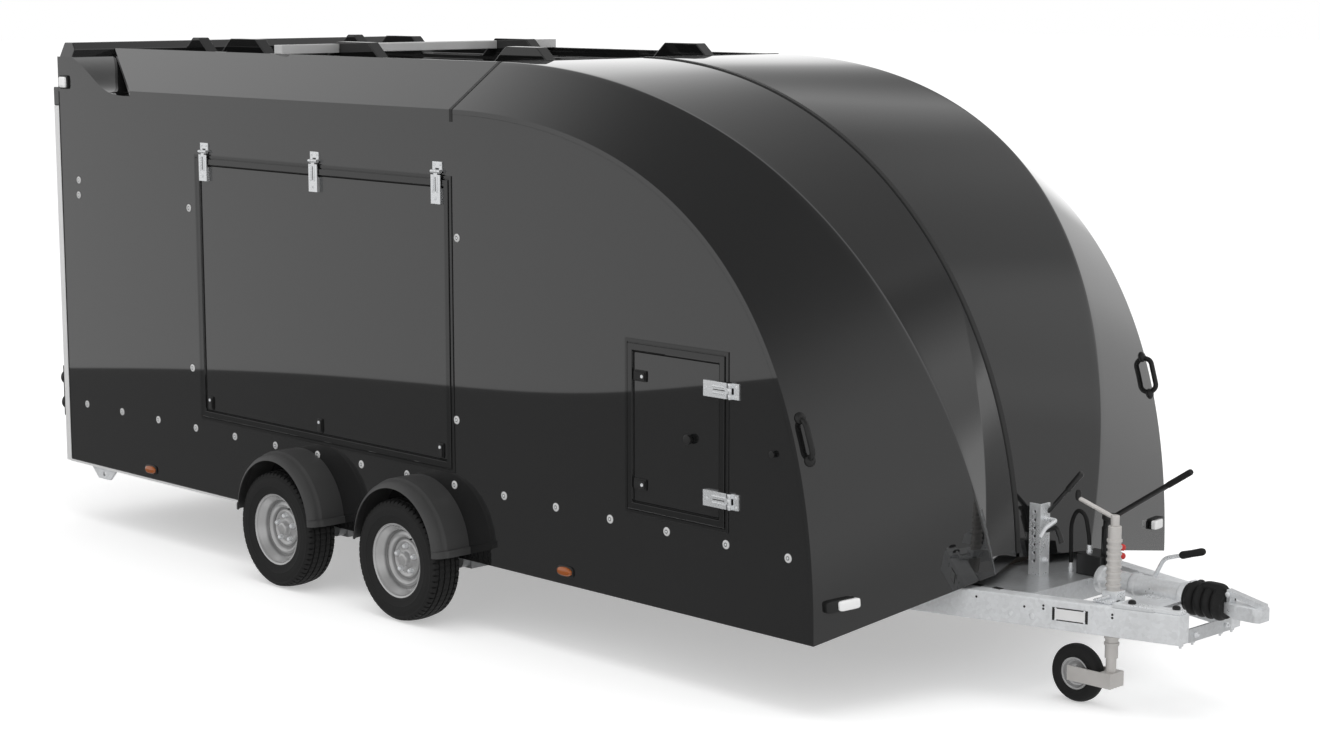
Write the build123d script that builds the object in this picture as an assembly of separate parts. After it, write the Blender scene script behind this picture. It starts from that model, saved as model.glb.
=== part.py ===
from build123d import *
import os
from math import ceil, cos, hypot, pi, radians, sin, sqrt, tan

# Enclosed tandem-axle car transporter trailer, in millimetres.
# +X runs to the coupling, +Y to the left side, +Z up. Places along X start at the middle of the two axles;
# the finished nodes are shifted so that the origin is on the ground below the middle of the whole trailer.

# Body shell
body_width = 2200
wall = 20
rear_x = -2350
skirt_z = 285
side_top_z = 2140
roof_edge_z = 2325
cheek_width = 263
roof_recess = 45
moulding_joint_x = 630
seam_gap = 0.5

# Nose moulding: the side rib, the bevel rib that leans inwards as it runs down, and the valley in the middle
side_tip_x = 2627
side_fullness = 0.6645
bevel_tip_x = 2820
bevel_low_z = 350
bevel_fullness = 0.64
bevel_foot_y = 171
valley_tip_x = 2700
valley_fullness = 0.585
valley_strip = 18
valley_strip_proud = 4
nose_lift_z = 447
nose_lift_y = 300

# Rear end
post_depth = 45
post_width = 70
doorway_sill_z = 430
header_height = 90
spoiler_rise = 30
spoiler_depth = 100
spoiler_overhang = 10
spoiler_corner = 30
quarter_length = 630
quarter_run = 60
quarter_drop = 37
quarter_top_length = 130

# Doors
door_gap = 6
frame_trim = 45
frame_proud = 8
hatch_rear_x = -1200
hatch_front_x = 630
hatch_low_z = 640
hatch_high_z = 1870
locker_rear_x = 1650
locker_front_x = 2200
locker_low_z = 635
locker_high_z = 1312
door_corner = 4
hinge_offset = 15
hinge_stand = 12
hinge_knuckle_r = 8
hinge_pin_r = 4
hinge_width = 60
hinge_clear = 0.3
strap_length = 133
strap_wall = 5
ramp_wall = 45
ramp_axis_drop = 13
ramp_axis_back = 43
ramp_knuckle_r = 10
ramp_pin_r = 6

# Floor and chassis
deck_wall = 25
chassis_top_z = 410
rail_width = 60
rail_inset = 190
rail_front_x = 1600
member_size = 60
member_pitch = 560
beam_width = 62
beam_height = 112
beam_front_x = 3575
beam_front_y = 200
beam_splay = 15.5
beam_rail_gap = 35

# Wheels, axles and mudguards
axle_spacing = 846
tyre_d = 520
tyre_width = 155
rim_r = 157.7
rim_width = 128
wheel_gap = 10
stub_r = 20
axle_tube = 70
arm_length = 150
arm_wall = 40
drum_r = 102
guard_r = 292
guard_wall = 8
guard_mid_z = 314
guard_reach = 175
guard_band = 63
guard_step = 6
guard_drop = 36
guard_foot = 14

# Coupling, jockey wheel and drawbar fittings
coupling_z = 430
coupling_tip_x = 3810
housing_rear_x = 3090
housing_front_x = 3480
housing_r = 46
gaiter_front_x = 3645
gaiter_r = 64
ball_x = 3735
socket_r = 25.2
socket_depth = 34
jockey_x = 3272
jockey_y = -181
jockey_tube_r = 24.5
jockey_stem_r = 19.5
jockey_tube_low_z = 195
jockey_tube_high_z = 690
jockey_stem_low_z = 96
jockey_stem_high_z = 520
jockey_wheel_d = 220
jockey_wheel_width = 62
jockey_trail = 146
jockey_arm_wall = 6
jockey_arm_height = 56
jockey_arm_gap = 6

# Roof fittings
roof_rail_inset = 357
roof_rail_width = 60
roof_rail_rise = 50
roof_bar_x = -900
roof_bar_width = 60
roof_bar_height = 40

# Lamps
lamp_plate_low_z = 510
lamp_plate_high_z = 760
lamp_dome_r = 33
lamp_dome_depth = 37
lamp_plate_wall = 8

half_width = body_width / 2
inner_y = half_width - wall
cheek_in_y = half_width - cheek_width
bevel_lean = (cheek_in_y - bevel_foot_y) / roof_edge_z
doorway_top_z = side_top_z - header_height
spoiler_top_z = roof_edge_z + spoiler_rise
quarter_low_x = rear_x + quarter_length
quarter_high_x = rear_x + spoiler_depth
quarter_top_z = roof_edge_z - quarter_drop
rail_mid_y = half_width - rail_inset
rail_in_y = rail_mid_y - rail_width / 2
rail_out_y = rail_mid_y + rail_width / 2
beam_rear_x = beam_front_x - (rail_in_y - beam_rail_gap - beam_front_y) / tan(radians(beam_splay))
wheel_mid_y = half_width + wheel_gap + tyre_width / 2
roof_rail_y = cheek_in_y - roof_rail_inset
roof_rail_top_z = roof_edge_z + roof_rail_rise
guard_outer_y = half_width + guard_reach
deck_top_z = chassis_top_z + deck_wall
cheek_slope = (roof_edge_z - side_top_z) / (half_width - cheek_in_y)
cheek_drop = wall * hypot(1, cheek_slope)
panel_top_z = side_top_z - cheek_drop
post_rear_x = rear_x - post_depth
tyre_r = tyre_d / 2
wheel_xs = {"front": axle_spacing / 2, "rear": -axle_spacing / 2}
rear_reach_x = post_rear_x - lamp_plate_wall - lamp_dome_depth
origin_x = (rear_reach_x + coupling_tip_x) / 2
nodes = {}


def block(x, y, z):
    """Rectangular bar between the low and high ends given for each direction."""
    size = [high - low for low, high in (x, y, z)]
    middle = [(high + low) / 2 for low, high in (x, y, z)]
    return Pos(*middle) * Box(*size)


def side_prism(points, low_y, high_y):
    """Polygon of (x, z) points carried straight across from low_y to high_y."""
    face = make_face(Polyline(*[(x, low_y, z) for x, z in points], close=True))
    return extrude(face, amount=high_y - low_y, dir=(0, 1, 0))


def cross_prism(points, low_x, high_x):
    """Polygon of (y, z) points carried lengthwise from low_x to high_x."""
    face = make_face(Polyline(*[(low_x, y, z) for y, z in points], close=True))
    return extrude(face, amount=high_x - low_x, dir=(1, 0, 0))


def plan_prism(points, low_z, high_z):
    """Polygon of (x, y) points carried upwards from low_z to high_z."""
    face = make_face(Polyline(*[(x, y, low_z) for x, y in points], close=True))
    return extrude(face, amount=high_z - low_z, dir=(0, 0, 1))


def rod(start, end, radius):
    """Round bar from one point to another."""
    way = Vector(*end) - Vector(*start)
    upwards = (Align.CENTER, Align.CENTER, Align.MIN)
    return Plane(origin=start, z_dir=way) * Cylinder(radius, way.length, align=upwards)


def bent_rod(points, radii, radius):
    """Round bar along straight runs with a tangent bend at each inner point."""
    path = FilletPolyline(*points, radius=radii)
    section = Plane(origin=path @ 0, z_dir=path % 0) * Circle(radius)
    return sweep(section, path=path)


def turned_y(points):
    """Closed (y, radius) outline turned about the Y axis."""
    face = make_face(Polyline(*[(0, y, r) for y, r in points], close=True))
    return revolve(face, axis=Axis.Y)


def left_of(shape):
    """The same piece on the other side of the trailer."""
    return mirror(shape, about=Plane.XZ)


def keep(name, *solids):
    """Store a node as one piece, or as like pieces that stand apart."""
    nodes[name] = list(solids)


# Nose moulding: three ribs, each a band of the wall in its own plane, joined by ruled faces.
def rib_curve(top_z, tip_x, low_z, fullness, half_at, inset):
    """Cubic from level at the roof joint to upright at the tip, set in by the inset."""
    run = tip_x - inset - moulding_joint_x
    drop = top_z - inset - low_z
    corners = [
        (moulding_joint_x, top_z - inset),
        (moulding_joint_x + fullness * run, top_z - inset),
        (tip_x - inset, low_z + fullness * drop),
        (tip_x - inset, low_z),
    ]
    return [(x, -half_at(z), z) for x, z in corners]


def rib_band(outer, inner):
    """Face between an outer and an inner rib curve."""
    edges = [Bezier(*outer), Line(outer[3], inner[3]), Bezier(*inner[::-1]), Line(inner[0], outer[0])]
    return make_face(edges)


def side_curve(inset):
    return rib_curve(side_top_z, side_tip_x, skirt_z, side_fullness, lambda z: half_width, inset)


def bevel_curve(inset):
    lean = lambda z: bevel_foot_y + bevel_lean * z
    return rib_curve(roof_edge_z, bevel_tip_x, bevel_low_z, bevel_fullness, lean, inset)


def valley_curve(inset, half=valley_strip / 2):
    return rib_curve(roof_edge_z, valley_tip_x, bevel_low_z, valley_fullness, lambda z: half, inset)


nose_trim = cross_prism(
    [
        (-half_width - wall, 0),
        (-half_width - wall, skirt_z),
        (-half_width, skirt_z),
        (-nose_lift_y, nose_lift_z),
        (nose_lift_y, nose_lift_z),
        (half_width, skirt_z),
        (half_width + wall, skirt_z),
        (half_width + wall, 0),
    ],
    moulding_joint_x,
    bevel_tip_x + wall,
)
ribs = [rib_band(curve(0), curve(wall)) for curve in (side_curve, bevel_curve, valley_curve)]
moulding_right = loft(ribs, ruled=True) - nose_trim
keep("nose_moulding_right", moulding_right)
keep("nose_moulding_left", left_of(moulding_right))
strip_face = rib_band(valley_curve(-valley_strip_proud), valley_curve(wall))
keep("nose_seam_strip", extrude(strip_face, amount=valley_strip, dir=(0, 1, 0)) - nose_trim)


# Side panels: flat sandwich panels cut to the nose curve and swept up at the rear quarter.
def quarter_curve(y, drop):
    """Cubic that sweeps the panel top up to the spoiler, from its front end to its rear end."""
    start_x = quarter_low_x - quarter_run
    end_x = rear_x + quarter_top_length
    mid_x = (start_x + end_x) / 2
    low_z = panel_top_z - drop
    high_z = quarter_top_z - drop
    return [(start_x, y, low_z), (mid_x, y, low_z), (mid_x, y, (low_z + high_z) / 2), (end_x, y, high_z)]


def side_panel():
    nose = side_curve(wall + seam_gap)
    quarter = quarter_curve(-half_width, 0)
    rear_top = (rear_x, -half_width, quarter_top_z)
    rear_low = (rear_x, -half_width, skirt_z)
    front_top = (moulding_joint_x, -half_width, panel_top_z)
    edges = [
        Line(rear_low, nose[3]),
        Bezier(*nose[::-1]),
        Line(nose[0], front_top),
        Line(front_top, quarter[0]),
        Bezier(*quarter),
        Line(quarter[3], rear_top),
        Line(rear_top, rear_low),
    ]
    return extrude(make_face(edges), amount=wall, dir=(0, 1, 0))


def window(low_x, high_x, low_z, high_z, low_y, high_y):
    """Upright opening or door leaf with rounded corners on the right-hand side."""
    centre = ((low_x + high_x) / 2, low_y, (low_z + high_z) / 2)
    upright = Plane(origin=centre, x_dir=(1, 0, 0), z_dir=(0, -1, 0))
    leaf = upright * RectangleRounded(high_x - low_x, high_z - low_z, door_corner)
    return extrude(leaf, amount=high_y - low_y, dir=(0, 1, 0))


def doorway(low_x, high_x, low_z, high_z, inset, low_y, high_y):
    return window(low_x + inset, high_x - inset, low_z + inset, high_z - inset, low_y, high_y)


hatch_span = (hatch_rear_x, hatch_front_x, hatch_low_z, hatch_high_z)
locker_span = (locker_rear_x, locker_front_x, locker_low_z, locker_high_z)
panel = side_panel()
through_y = (-half_width - wall, -inner_y + wall)
door_cuts = [doorway(*span, frame_trim, *through_y) for span in (hatch_span, locker_span)]
keep("side_panel_right", panel - door_cuts)
keep("side_panel_left", left_of(panel))


# Door frames: stepped trim on the outside of the panel round each opening.
def door_frame(span):
    face_y = -half_width
    outer = doorway(*span, 0, face_y - frame_proud / 2, face_y)
    step = doorway(*span, frame_trim / 3, face_y - frame_proud, face_y - frame_proud / 2)
    return outer + step - doorway(*span, frame_trim, face_y - wall, face_y + wall)


keep("door_frames", door_frame(hatch_span), door_frame(locker_span))
leaf_y = (-half_width, -inner_y)
keep("hatch_panel", doorway(*hatch_span, frame_trim + door_gap, *leaf_y))
keep("locker_panel", doorway(*locker_span, frame_trim + door_gap, *leaf_y))


# Door hinges: a fixed plate with two knuckles and a pin, and a strap that reaches over the frame to the leaf.
def strap_hinge():
    """Hinge at the origin with its pin along X, plate above, strap hanging below, back face towards +Y."""
    half = hinge_width / 2
    knuckle = hinge_width / 5
    pin = rod((-half, 0, 0), (half, 0, 0), hinge_pin_r)
    ends = [rod((side * half, 0, 0), (side * knuckle, 0, 0), hinge_knuckle_r) for side in (-1, 1)]
    plate_z = (0, hinge_knuckle_r + 32)
    plates = [
        block(sorted((side * half, side * knuckle)), (hinge_stand - strap_wall, hinge_stand), plate_z)
        for side in (-1, 1)
    ]
    bridge = block((-half, half), (hinge_stand - strap_wall, hinge_stand), (hinge_knuckle_r + 6, plate_z[1]))
    webs = [
        block(sorted((side * half, side * knuckle)), (0, hinge_stand), (0, hinge_knuckle_r))
        for side in (-1, 1)
    ]
    fixed = pin + ends + plates + bridge + webs
    reach = knuckle - seam_gap
    eye = rod((-reach, 0, 0), (reach, 0, 0), hinge_knuckle_r)
    strap_y = (-strap_wall + 1, 1)
    neck = block((-reach, reach), strap_y, (-hinge_knuckle_r - 6, 0))
    band = block((-half, half), strap_y, (-strap_length, -hinge_knuckle_r - 5))
    foot_top = -hinge_offset - frame_trim - door_gap - 2
    foot = block((-half, half), (0, hinge_stand), (-strap_length, foot_top))
    strap = eye + neck + band + foot - rod((-half, 0, 0), (half, 0, 0), hinge_pin_r + hinge_clear)
    return fixed, strap


hinge_fixed, hinge_strap = strap_hinge()
hinge_y = -half_width - hinge_stand
hatch_axis_z = hatch_high_z + hinge_offset
locker_axis_x = locker_front_x + hinge_offset
hatch_hinge_inset = 85
hatch_hinge_ends = (hatch_rear_x + hatch_hinge_inset, hatch_front_x - hatch_hinge_inset)
hatch_hinge_xs = (hatch_hinge_ends[0], sum(hatch_hinge_ends) / 2, hatch_hinge_ends[1])
locker_hinge_zs = (locker_low_z + 122, locker_high_z - 142)
hatch_hinge_places = [Pos(x, hinge_y, hatch_axis_z) for x in hatch_hinge_xs]
locker_hinge_places = [Pos(locker_axis_x, hinge_y, z) * Rot(0, 90, 0) for z in locker_hinge_zs]
keep("door_hinge_plates", *[place * hinge_fixed for place in hatch_hinge_places + locker_hinge_places])
keep("hatch_hinge_straps", *[place * hinge_strap for place in hatch_hinge_places])
keep("locker_hinge_straps", *[place * hinge_strap for place in locker_hinge_places])


# Latches and the locker door's knob, with the rubber stop that the knob meets when the door is folded back.
latch_size = (26, 14, 44)
latch_inset = 12


def latch(x, z):
    return Pos(x, -half_width - latch_size[1] / 2, z) * Box(*latch_size)


def knob(x, z, length, radius):
    """Turned rubber button: a narrow neck and a wide head, pointing outwards."""
    stem = rod((x, -half_width, z), (x, -half_width - length, z), radius * 0.6)
    head = rod((x, -half_width - length / 2, z), (x, -half_width - length, z), radius)
    return stem + head


hatch_latch_z = hatch_low_z + frame_trim + door_gap + latch_inset + latch_size[2] / 2
hatch_latch_xs = hatch_hinge_xs
locker_latch_x = locker_rear_x + frame_trim + door_gap + latch_inset + latch_size[0] / 2
locker_mid_z = (locker_hinge_zs[0] + locker_hinge_zs[1]) / 2
locker_knob_inset = 197
locker_knob_x = locker_front_x - locker_knob_inset
keep("hatch_latches", *[latch(x, hatch_latch_z) for x in hatch_latch_xs])
locker_fittings = [latch(locker_latch_x, z) for z in locker_hinge_zs]
keep("locker_fittings", *locker_fittings, knob(locker_knob_x, locker_mid_z, 26, 16))
locker_stop = knob(2 * locker_axis_x - locker_knob_x, locker_mid_z, 16, 13)


# Roof: sloping cheeks with a scoop behind their rear ends, and a recessed tray between them.
def roof_cheek():
    slope = [
        (-half_width, side_top_z),
        (-cheek_in_y, roof_edge_z),
        (-cheek_in_y, roof_edge_z - cheek_drop),
        (-half_width, side_top_z - cheek_drop),
    ]
    plate = cross_prism(slope, quarter_high_x, moulding_joint_x)
    behind = [
        (quarter_low_x, -half_width),
        (quarter_high_x, -cheek_in_y),
        (quarter_high_x - wall, -cheek_in_y),
        (quarter_high_x - wall, -half_width),
    ]
    plate -= plan_prism(behind, panel_top_z - wall, roof_edge_z + wall)
    scoop_top = quarter_curve(-inner_y, 0)
    scoop_low = quarter_curve(-inner_y, wall)
    end_places = ((quarter_low_x + wall, panel_top_z), (quarter_high_x, quarter_top_z))
    ends = [(x, -inner_y, z) for x, z in end_places]
    low_ends = [(x, y, z - wall) for x, y, z in ends]
    scoop_edges = [
        Line(ends[0], scoop_top[0]),
        Bezier(*scoop_top),
        Line(scoop_top[3], ends[1]),
        Line(ends[1], low_ends[1]),
        Line(low_ends[1], scoop_low[3]),
        Bezier(*scoop_low[::-1]),
        Line(scoop_low[0], low_ends[0]),
        Line(low_ends[0], ends[0]),
    ]
    scoop = extrude(make_face(scoop_edges), amount=inner_y - cheek_in_y, dir=(0, 1, 0))
    end_wall_x = (quarter_low_x, quarter_low_x + wall)
    end_wall = block(end_wall_x, (-inner_y, -cheek_in_y), (panel_top_z - wall, roof_edge_z))
    scoop_wall_x = (quarter_high_x, quarter_low_x)
    scoop_wall_z = (panel_top_z - wall, roof_edge_z - roof_recess - wall)
    scoop_wall = block(scoop_wall_x, (-cheek_in_y - wall, -cheek_in_y), scoop_wall_z)
    above = cross_prism(
        [slope[0], slope[1], (-cheek_in_y, roof_edge_z + 2 * wall), (-half_width, roof_edge_z + 2 * wall)],
        quarter_low_x - wall,
        quarter_low_x + 2 * wall,
    )
    return plate + scoop + scoop_wall + (end_wall - above)


cheek = roof_cheek()
keep("roof_cheek_right", cheek)
keep("roof_cheek_left", left_of(cheek))

tray_top_z = roof_edge_z - roof_recess
tray_x = (quarter_high_x, moulding_joint_x)
tray = block(tray_x, (-cheek_in_y, cheek_in_y), (tray_top_z - wall, roof_edge_z))
tray_hollow_y = (-cheek_in_y + wall, cheek_in_y - wall)
tray -= block((tray_x[0] - wall, tray_x[1] - wall), tray_hollow_y, (tray_top_z, roof_edge_z + wall))
keep("roof_panel", tray)


# Roof rails: a low base strip with wedge-ended blocks standing on it, one row each side.
rail_shares = ((0.028, 0.122), (0.139, 0.288), (0.434, 0.59), (0.844, 0.99))
tray_length = tray_x[1] - tray_x[0]
rail_blocks = [(tray_x[0] + low * tray_length, tray_x[0] + high * tray_length) for low, high in rail_shares]
rail_base_height = 12
rail_wedge = 110


def roof_rail(mid_y):
    y = (mid_y - roof_rail_width / 2, mid_y + roof_rail_width / 2)
    base = block((rail_blocks[0][0], rail_blocks[-1][1]), y, (tray_top_z, tray_top_z + rail_base_height))
    wedges = [
        side_prism(
            [
                (low, tray_top_z),
                (low + rail_wedge, roof_rail_top_z),
                (high - rail_wedge, roof_rail_top_z),
                (high, tray_top_z),
            ],
            *y,
        )
        for low, high in rail_blocks
    ]
    return base + wedges


keep("roof_rails", roof_rail(-roof_rail_y), roof_rail(roof_rail_y))
bar_x = (roof_bar_x - roof_bar_width / 2, roof_bar_x + roof_bar_width / 2)
bar_z = (roof_edge_z, roof_edge_z + roof_bar_height)
bar = block(bar_x, (-cheek_in_y, cheek_in_y), bar_z)
for side in (-1, 1):
    rail_y = sorted((side * (roof_rail_y - roof_rail_width / 2), side * (roof_rail_y + roof_rail_width / 2)))
    notch_x = (bar_x[0] - wall, bar_x[1] + wall)
    bar -= block(notch_x, (rail_y[0] - seam_gap, rail_y[1] + seam_gap), (bar_z[0] - wall, bar_z[1] + wall))
keep("roof_cross_bar", *bar.solids())


# Rear end: corner posts, header, sill and the spoiler that caps the roof.
post_y = (half_width - post_width, half_width)
post = block((post_rear_x, rear_x), post_y, (skirt_z, doorway_top_z))
keep("rear_posts", post, left_of(post))
header_z = (doorway_top_z, doorway_top_z + header_height)
keep("rear_header", block((post_rear_x, rear_x), (-half_width, half_width), header_z))
sill_x = (rear_x - post_depth / 3, rear_x)
doorway_half = half_width - post_width
keep("rear_sill", block(sill_x, (-doorway_half, doorway_half), (skirt_z, doorway_sill_z)))

spoiler_shape = side_prism(
    [
        (rear_x, header_z[1]),
        (rear_x - spoiler_overhang, header_z[1] + wall),
        (rear_x - spoiler_overhang, spoiler_top_z),
        (rear_x + spoiler_depth * 0.6, spoiler_top_z),
        (rear_x + spoiler_depth, roof_edge_z),
        (rear_x + spoiler_depth, panel_top_z),
        (rear_x, panel_top_z),
    ],
    -inner_y,
    inner_y,
)
spoiler_ends = cross_prism(
    [
        (-inner_y, panel_top_z - wall),
        (-inner_y, quarter_top_z),
        (-inner_y + spoiler_corner, spoiler_top_z),
        (inner_y - spoiler_corner, spoiler_top_z),
        (inner_y, quarter_top_z),
        (inner_y, panel_top_z - wall),
    ],
    rear_x - wall,
    rear_x + spoiler_depth + wall,
)
keep("rear_spoiler", spoiler_shape & spoiler_ends)


# Ramp door: one leaf between the posts, hung on knuckles along its lower edge.
ramp_low_z = doorway_sill_z + 2 * door_gap
ramp_axis = (rear_x - ramp_axis_back, ramp_low_z - ramp_axis_drop)
ramp_hinge_inset = 250
ramp_hinge_y = doorway_half - ramp_hinge_inset
ramp_hinge_ys = (-ramp_hinge_y, 0, ramp_hinge_y)
ramp_knuckle = 60


def ramp_hinge(mid_y):
    x, z = ramp_axis
    half = ramp_knuckle / 2
    pin = rod((x, mid_y - 2 * half, z), (x, mid_y + 2 * half, z), ramp_pin_r)
    fixed = pin
    for side in (-1, 1):
        ends = sorted((mid_y + side * 2 * half, mid_y + side * (half + seam_gap)))
        lug = rod((x, ends[0], z), (x, ends[1], z), ramp_knuckle_r)
        plate = block((x, sill_x[0]), ends, (z - 40, z))
        fixed += lug + plate
    eye = rod((x, mid_y - half, z), (x, mid_y + half, z), ramp_knuckle_r)
    tongue = block((x - ramp_knuckle_r, x), (mid_y - half, mid_y + half), (z, ramp_low_z + 40))
    bore = rod((x, mid_y - half, z), (x, mid_y + half, z), ramp_pin_r + hinge_clear)
    return fixed, eye + tongue - bore


ramp_hinges = [ramp_hinge(y) for y in ramp_hinge_ys]
ramp_half = doorway_half - door_gap
ramp_leaf = block(
    (rear_x - ramp_wall, rear_x), (-ramp_half, ramp_half), (ramp_low_z, doorway_top_z - door_gap)
)
for fixed, tongue in ramp_hinges:
    ramp_leaf += tongue
keep("ramp_door", ramp_leaf)
keep("ramp_hinges", *[fixed for fixed, tongue in ramp_hinges])


# Ramp latches: a flat plate with an upright turning bar at each side of the leaf, half way up.
ramp_latch_size = (8, 60, 140)
ramp_bar_size = (20, 24, 110)
ramp_latch_inset = 55
ramp_latch_y = ramp_half - ramp_latch_inset
ramp_latch_z = (ramp_low_z + doorway_top_z) / 2
ramp_face_x = rear_x - ramp_wall
latch_plate = Pos(ramp_face_x - ramp_latch_size[0] / 2, ramp_latch_y, ramp_latch_z) * Box(*ramp_latch_size)
latch_bar_x = ramp_face_x - ramp_latch_size[0] - ramp_bar_size[0] / 2
ramp_latch = latch_plate + Pos(latch_bar_x, ramp_latch_y, ramp_latch_z) * Box(*ramp_bar_size)
keep("ramp_latches", ramp_latch, left_of(ramp_latch))


# Floor: cross members on lengthwise rails, a deck board above them.
rail = block((rear_x, rail_front_x), (rail_in_y, rail_out_y), (skirt_z, chassis_top_z))
keep("chassis_rails", rail, left_of(rail))


def beam_side(x, inset):
    """Distance of a drawbar beam's face from the middle, its outer face being at inset 0."""
    return beam_front_y + (beam_front_x - x) * tan(radians(beam_splay)) - inset / cos(radians(beam_splay))


member_z = (chassis_top_z - member_size, chassis_top_z)
member_count = ceil((beam_rear_x - rear_x) / member_pitch)
member_step = (beam_rear_x - member_size - rear_x) / member_count
members = []
for i in range(member_count + 1):
    x = rear_x + i * member_step
    members.append(block((x, x + member_size), (-rail_in_y, rail_in_y), member_z))
    for side in (-1, 1):
        members.append(block((x, x + member_size), sorted((side * rail_out_y, side * inner_y)), member_z))
keep("cross_members", *members)

deck_nose_gap = 30
deck_tip_x = side_tip_x - wall - deck_nose_gap
deck_front_x = valley_tip_x - wall - deck_nose_gap
deck_outline = [
    (rear_x, -inner_y),
    (deck_tip_x - deck_nose_gap, -inner_y),
    (deck_tip_x, -inner_y + deck_nose_gap),
    (deck_front_x, -bevel_foot_y),
    (deck_front_x, bevel_foot_y),
    (deck_tip_x, inner_y - deck_nose_gap),
    (deck_tip_x - deck_nose_gap, inner_y),
    (rear_x, inner_y),
]
keep("deck", plan_prism(deck_outline, chassis_top_z, deck_top_z))


# Drawbar: two splayed beams from under the floor to the coupling, with plates between them.
beam_z = (chassis_top_z - beam_height, chassis_top_z)


def drawbar_beam():
    outline = [
        (beam_rear_x, beam_side(beam_rear_x, 0)),
        (beam_front_x, beam_side(beam_front_x, 0)),
        (beam_front_x, beam_side(beam_front_x, beam_width)),
        (beam_rear_x, beam_side(beam_rear_x, beam_width)),
    ]
    return plan_prism(outline, *beam_z)


beam = drawbar_beam()
keep("drawbar_beams", beam, left_of(beam))


def between_beams(low_x, high_x, low_z, high_z):
    """Plate that fills the width between the beams' inner faces."""
    low_y = beam_side(low_x, beam_width)
    high_y = beam_side(high_x, beam_width)
    return plan_prism([(low_x, -low_y), (high_x, -high_y), (high_x, high_y), (low_x, low_y)], low_z, high_z)


plate_wall = 8
plate_rear_x = 2560
plate_front_x = 3000
plate_fold = 80
plate_tab_y = 55
end_plate_height = 52
plate_low_z = chassis_top_z - plate_wall
top_plate = between_beams(plate_rear_x, plate_front_x, plate_low_z, chassis_top_z)
pump_tab = between_beams(plate_front_x, housing_rear_x - wall, plate_low_z, chassis_top_z)
beside_tab = block(
    (plate_front_x, housing_rear_x), (-half_width, plate_tab_y), (plate_low_z - 1, chassis_top_z + 1)
)
folded_edge = between_beams(plate_front_x - plate_wall, plate_front_x, chassis_top_z - plate_fold, chassis_top_z)
drawbar_plates = [
    top_plate + (pump_tab - beside_tab) + folded_edge,
    between_beams(beam_front_x - plate_wall, beam_front_x, beam_z[0], beam_z[0] + end_plate_height),
]
keep("drawbar_plates", *drawbar_plates)


# Axles: a square torsion beam across the chassis, trailing arms, back plates and stubs.
backplate_gap = 12
backplate_wall = 6
axle_half = half_width - wall - arm_wall - 40
beam_mid_z = skirt_z - axle_tube / 2


def axle(wheel_x):
    beam_x = wheel_x + arm_length
    half = axle_tube / 2
    whole = block((beam_x - half, beam_x + half), (-axle_half, axle_half), (skirt_z - axle_tube, skirt_z))
    for side in (-1, 1):
        arm_in = side * axle_half
        arm_out = side * (axle_half + arm_wall)
        hub_z = tyre_r
        boss = rod((beam_x, arm_in, beam_mid_z), (beam_x, arm_out, beam_mid_z), half - 5)
        eye = rod((wheel_x, arm_in, hub_z), (wheel_x, arm_out, hub_z), stub_r)
        link = side_prism(
            [
                (wheel_x, hub_z - stub_r),
                (beam_x, beam_mid_z - half + 5),
                (beam_x, beam_mid_z + half - 5),
                (wheel_x, hub_z + stub_r),
            ],
            *sorted((arm_in, arm_out)),
        )
        plate_y = half_width + backplate_gap
        stub = rod((wheel_x, arm_out, hub_z), (wheel_x, side * wheel_mid_y, hub_z), stub_r)
        plate_end = side * (plate_y + backplate_wall)
        plate = rod((wheel_x, side * plate_y, hub_z), (wheel_x, plate_end, hub_z), drum_r)
        whole += [boss, eye, link, stub, plate]
    return whole


keep("axles", *[axle(x) for x in wheel_xs.values()])


# Wheels: a filled tyre ring on a pressed steel rim whose disc is fused with the hub and drum.
def tyre_ring(width, outer_r, inner_r, bead_height, crown):
    """Ring with upright beads, bulged side walls and a slightly crowned tread, turned about Y."""
    bead = width * 0.4
    shoulder = width * 0.41
    bead_r = inner_r + bead_height
    wall_mid_r = (outer_r + bead_r) / 2
    shoulder_r = outer_r - crown
    edges = [
        Line((0, -bead, inner_r), (0, bead, inner_r)),
        Line((0, bead, inner_r), (0, bead, bead_r)),
        ThreePointArc((0, bead, bead_r), (0, width / 2, wall_mid_r), (0, shoulder, shoulder_r)),
        ThreePointArc((0, shoulder, shoulder_r), (0, 0, outer_r), (0, -shoulder, shoulder_r)),
        ThreePointArc((0, -shoulder, shoulder_r), (0, -width / 2, wall_mid_r), (0, -bead, bead_r)),
        Line((0, -bead, bead_r), (0, -bead, inner_r)),
    ]
    return revolve(make_face(edges), axis=Axis.Y)


rim_wall = 5
rim_lip = 8
well_r = 132
well_y = (-18, 32)
disc_wall = 5
disc_y = 26
disc_dish = 12
disc_ring_r = 92
disc_foot_r = 112
hub_r = 66
cap_r = 30
cap_length = 34
cap_crown = 5


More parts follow.
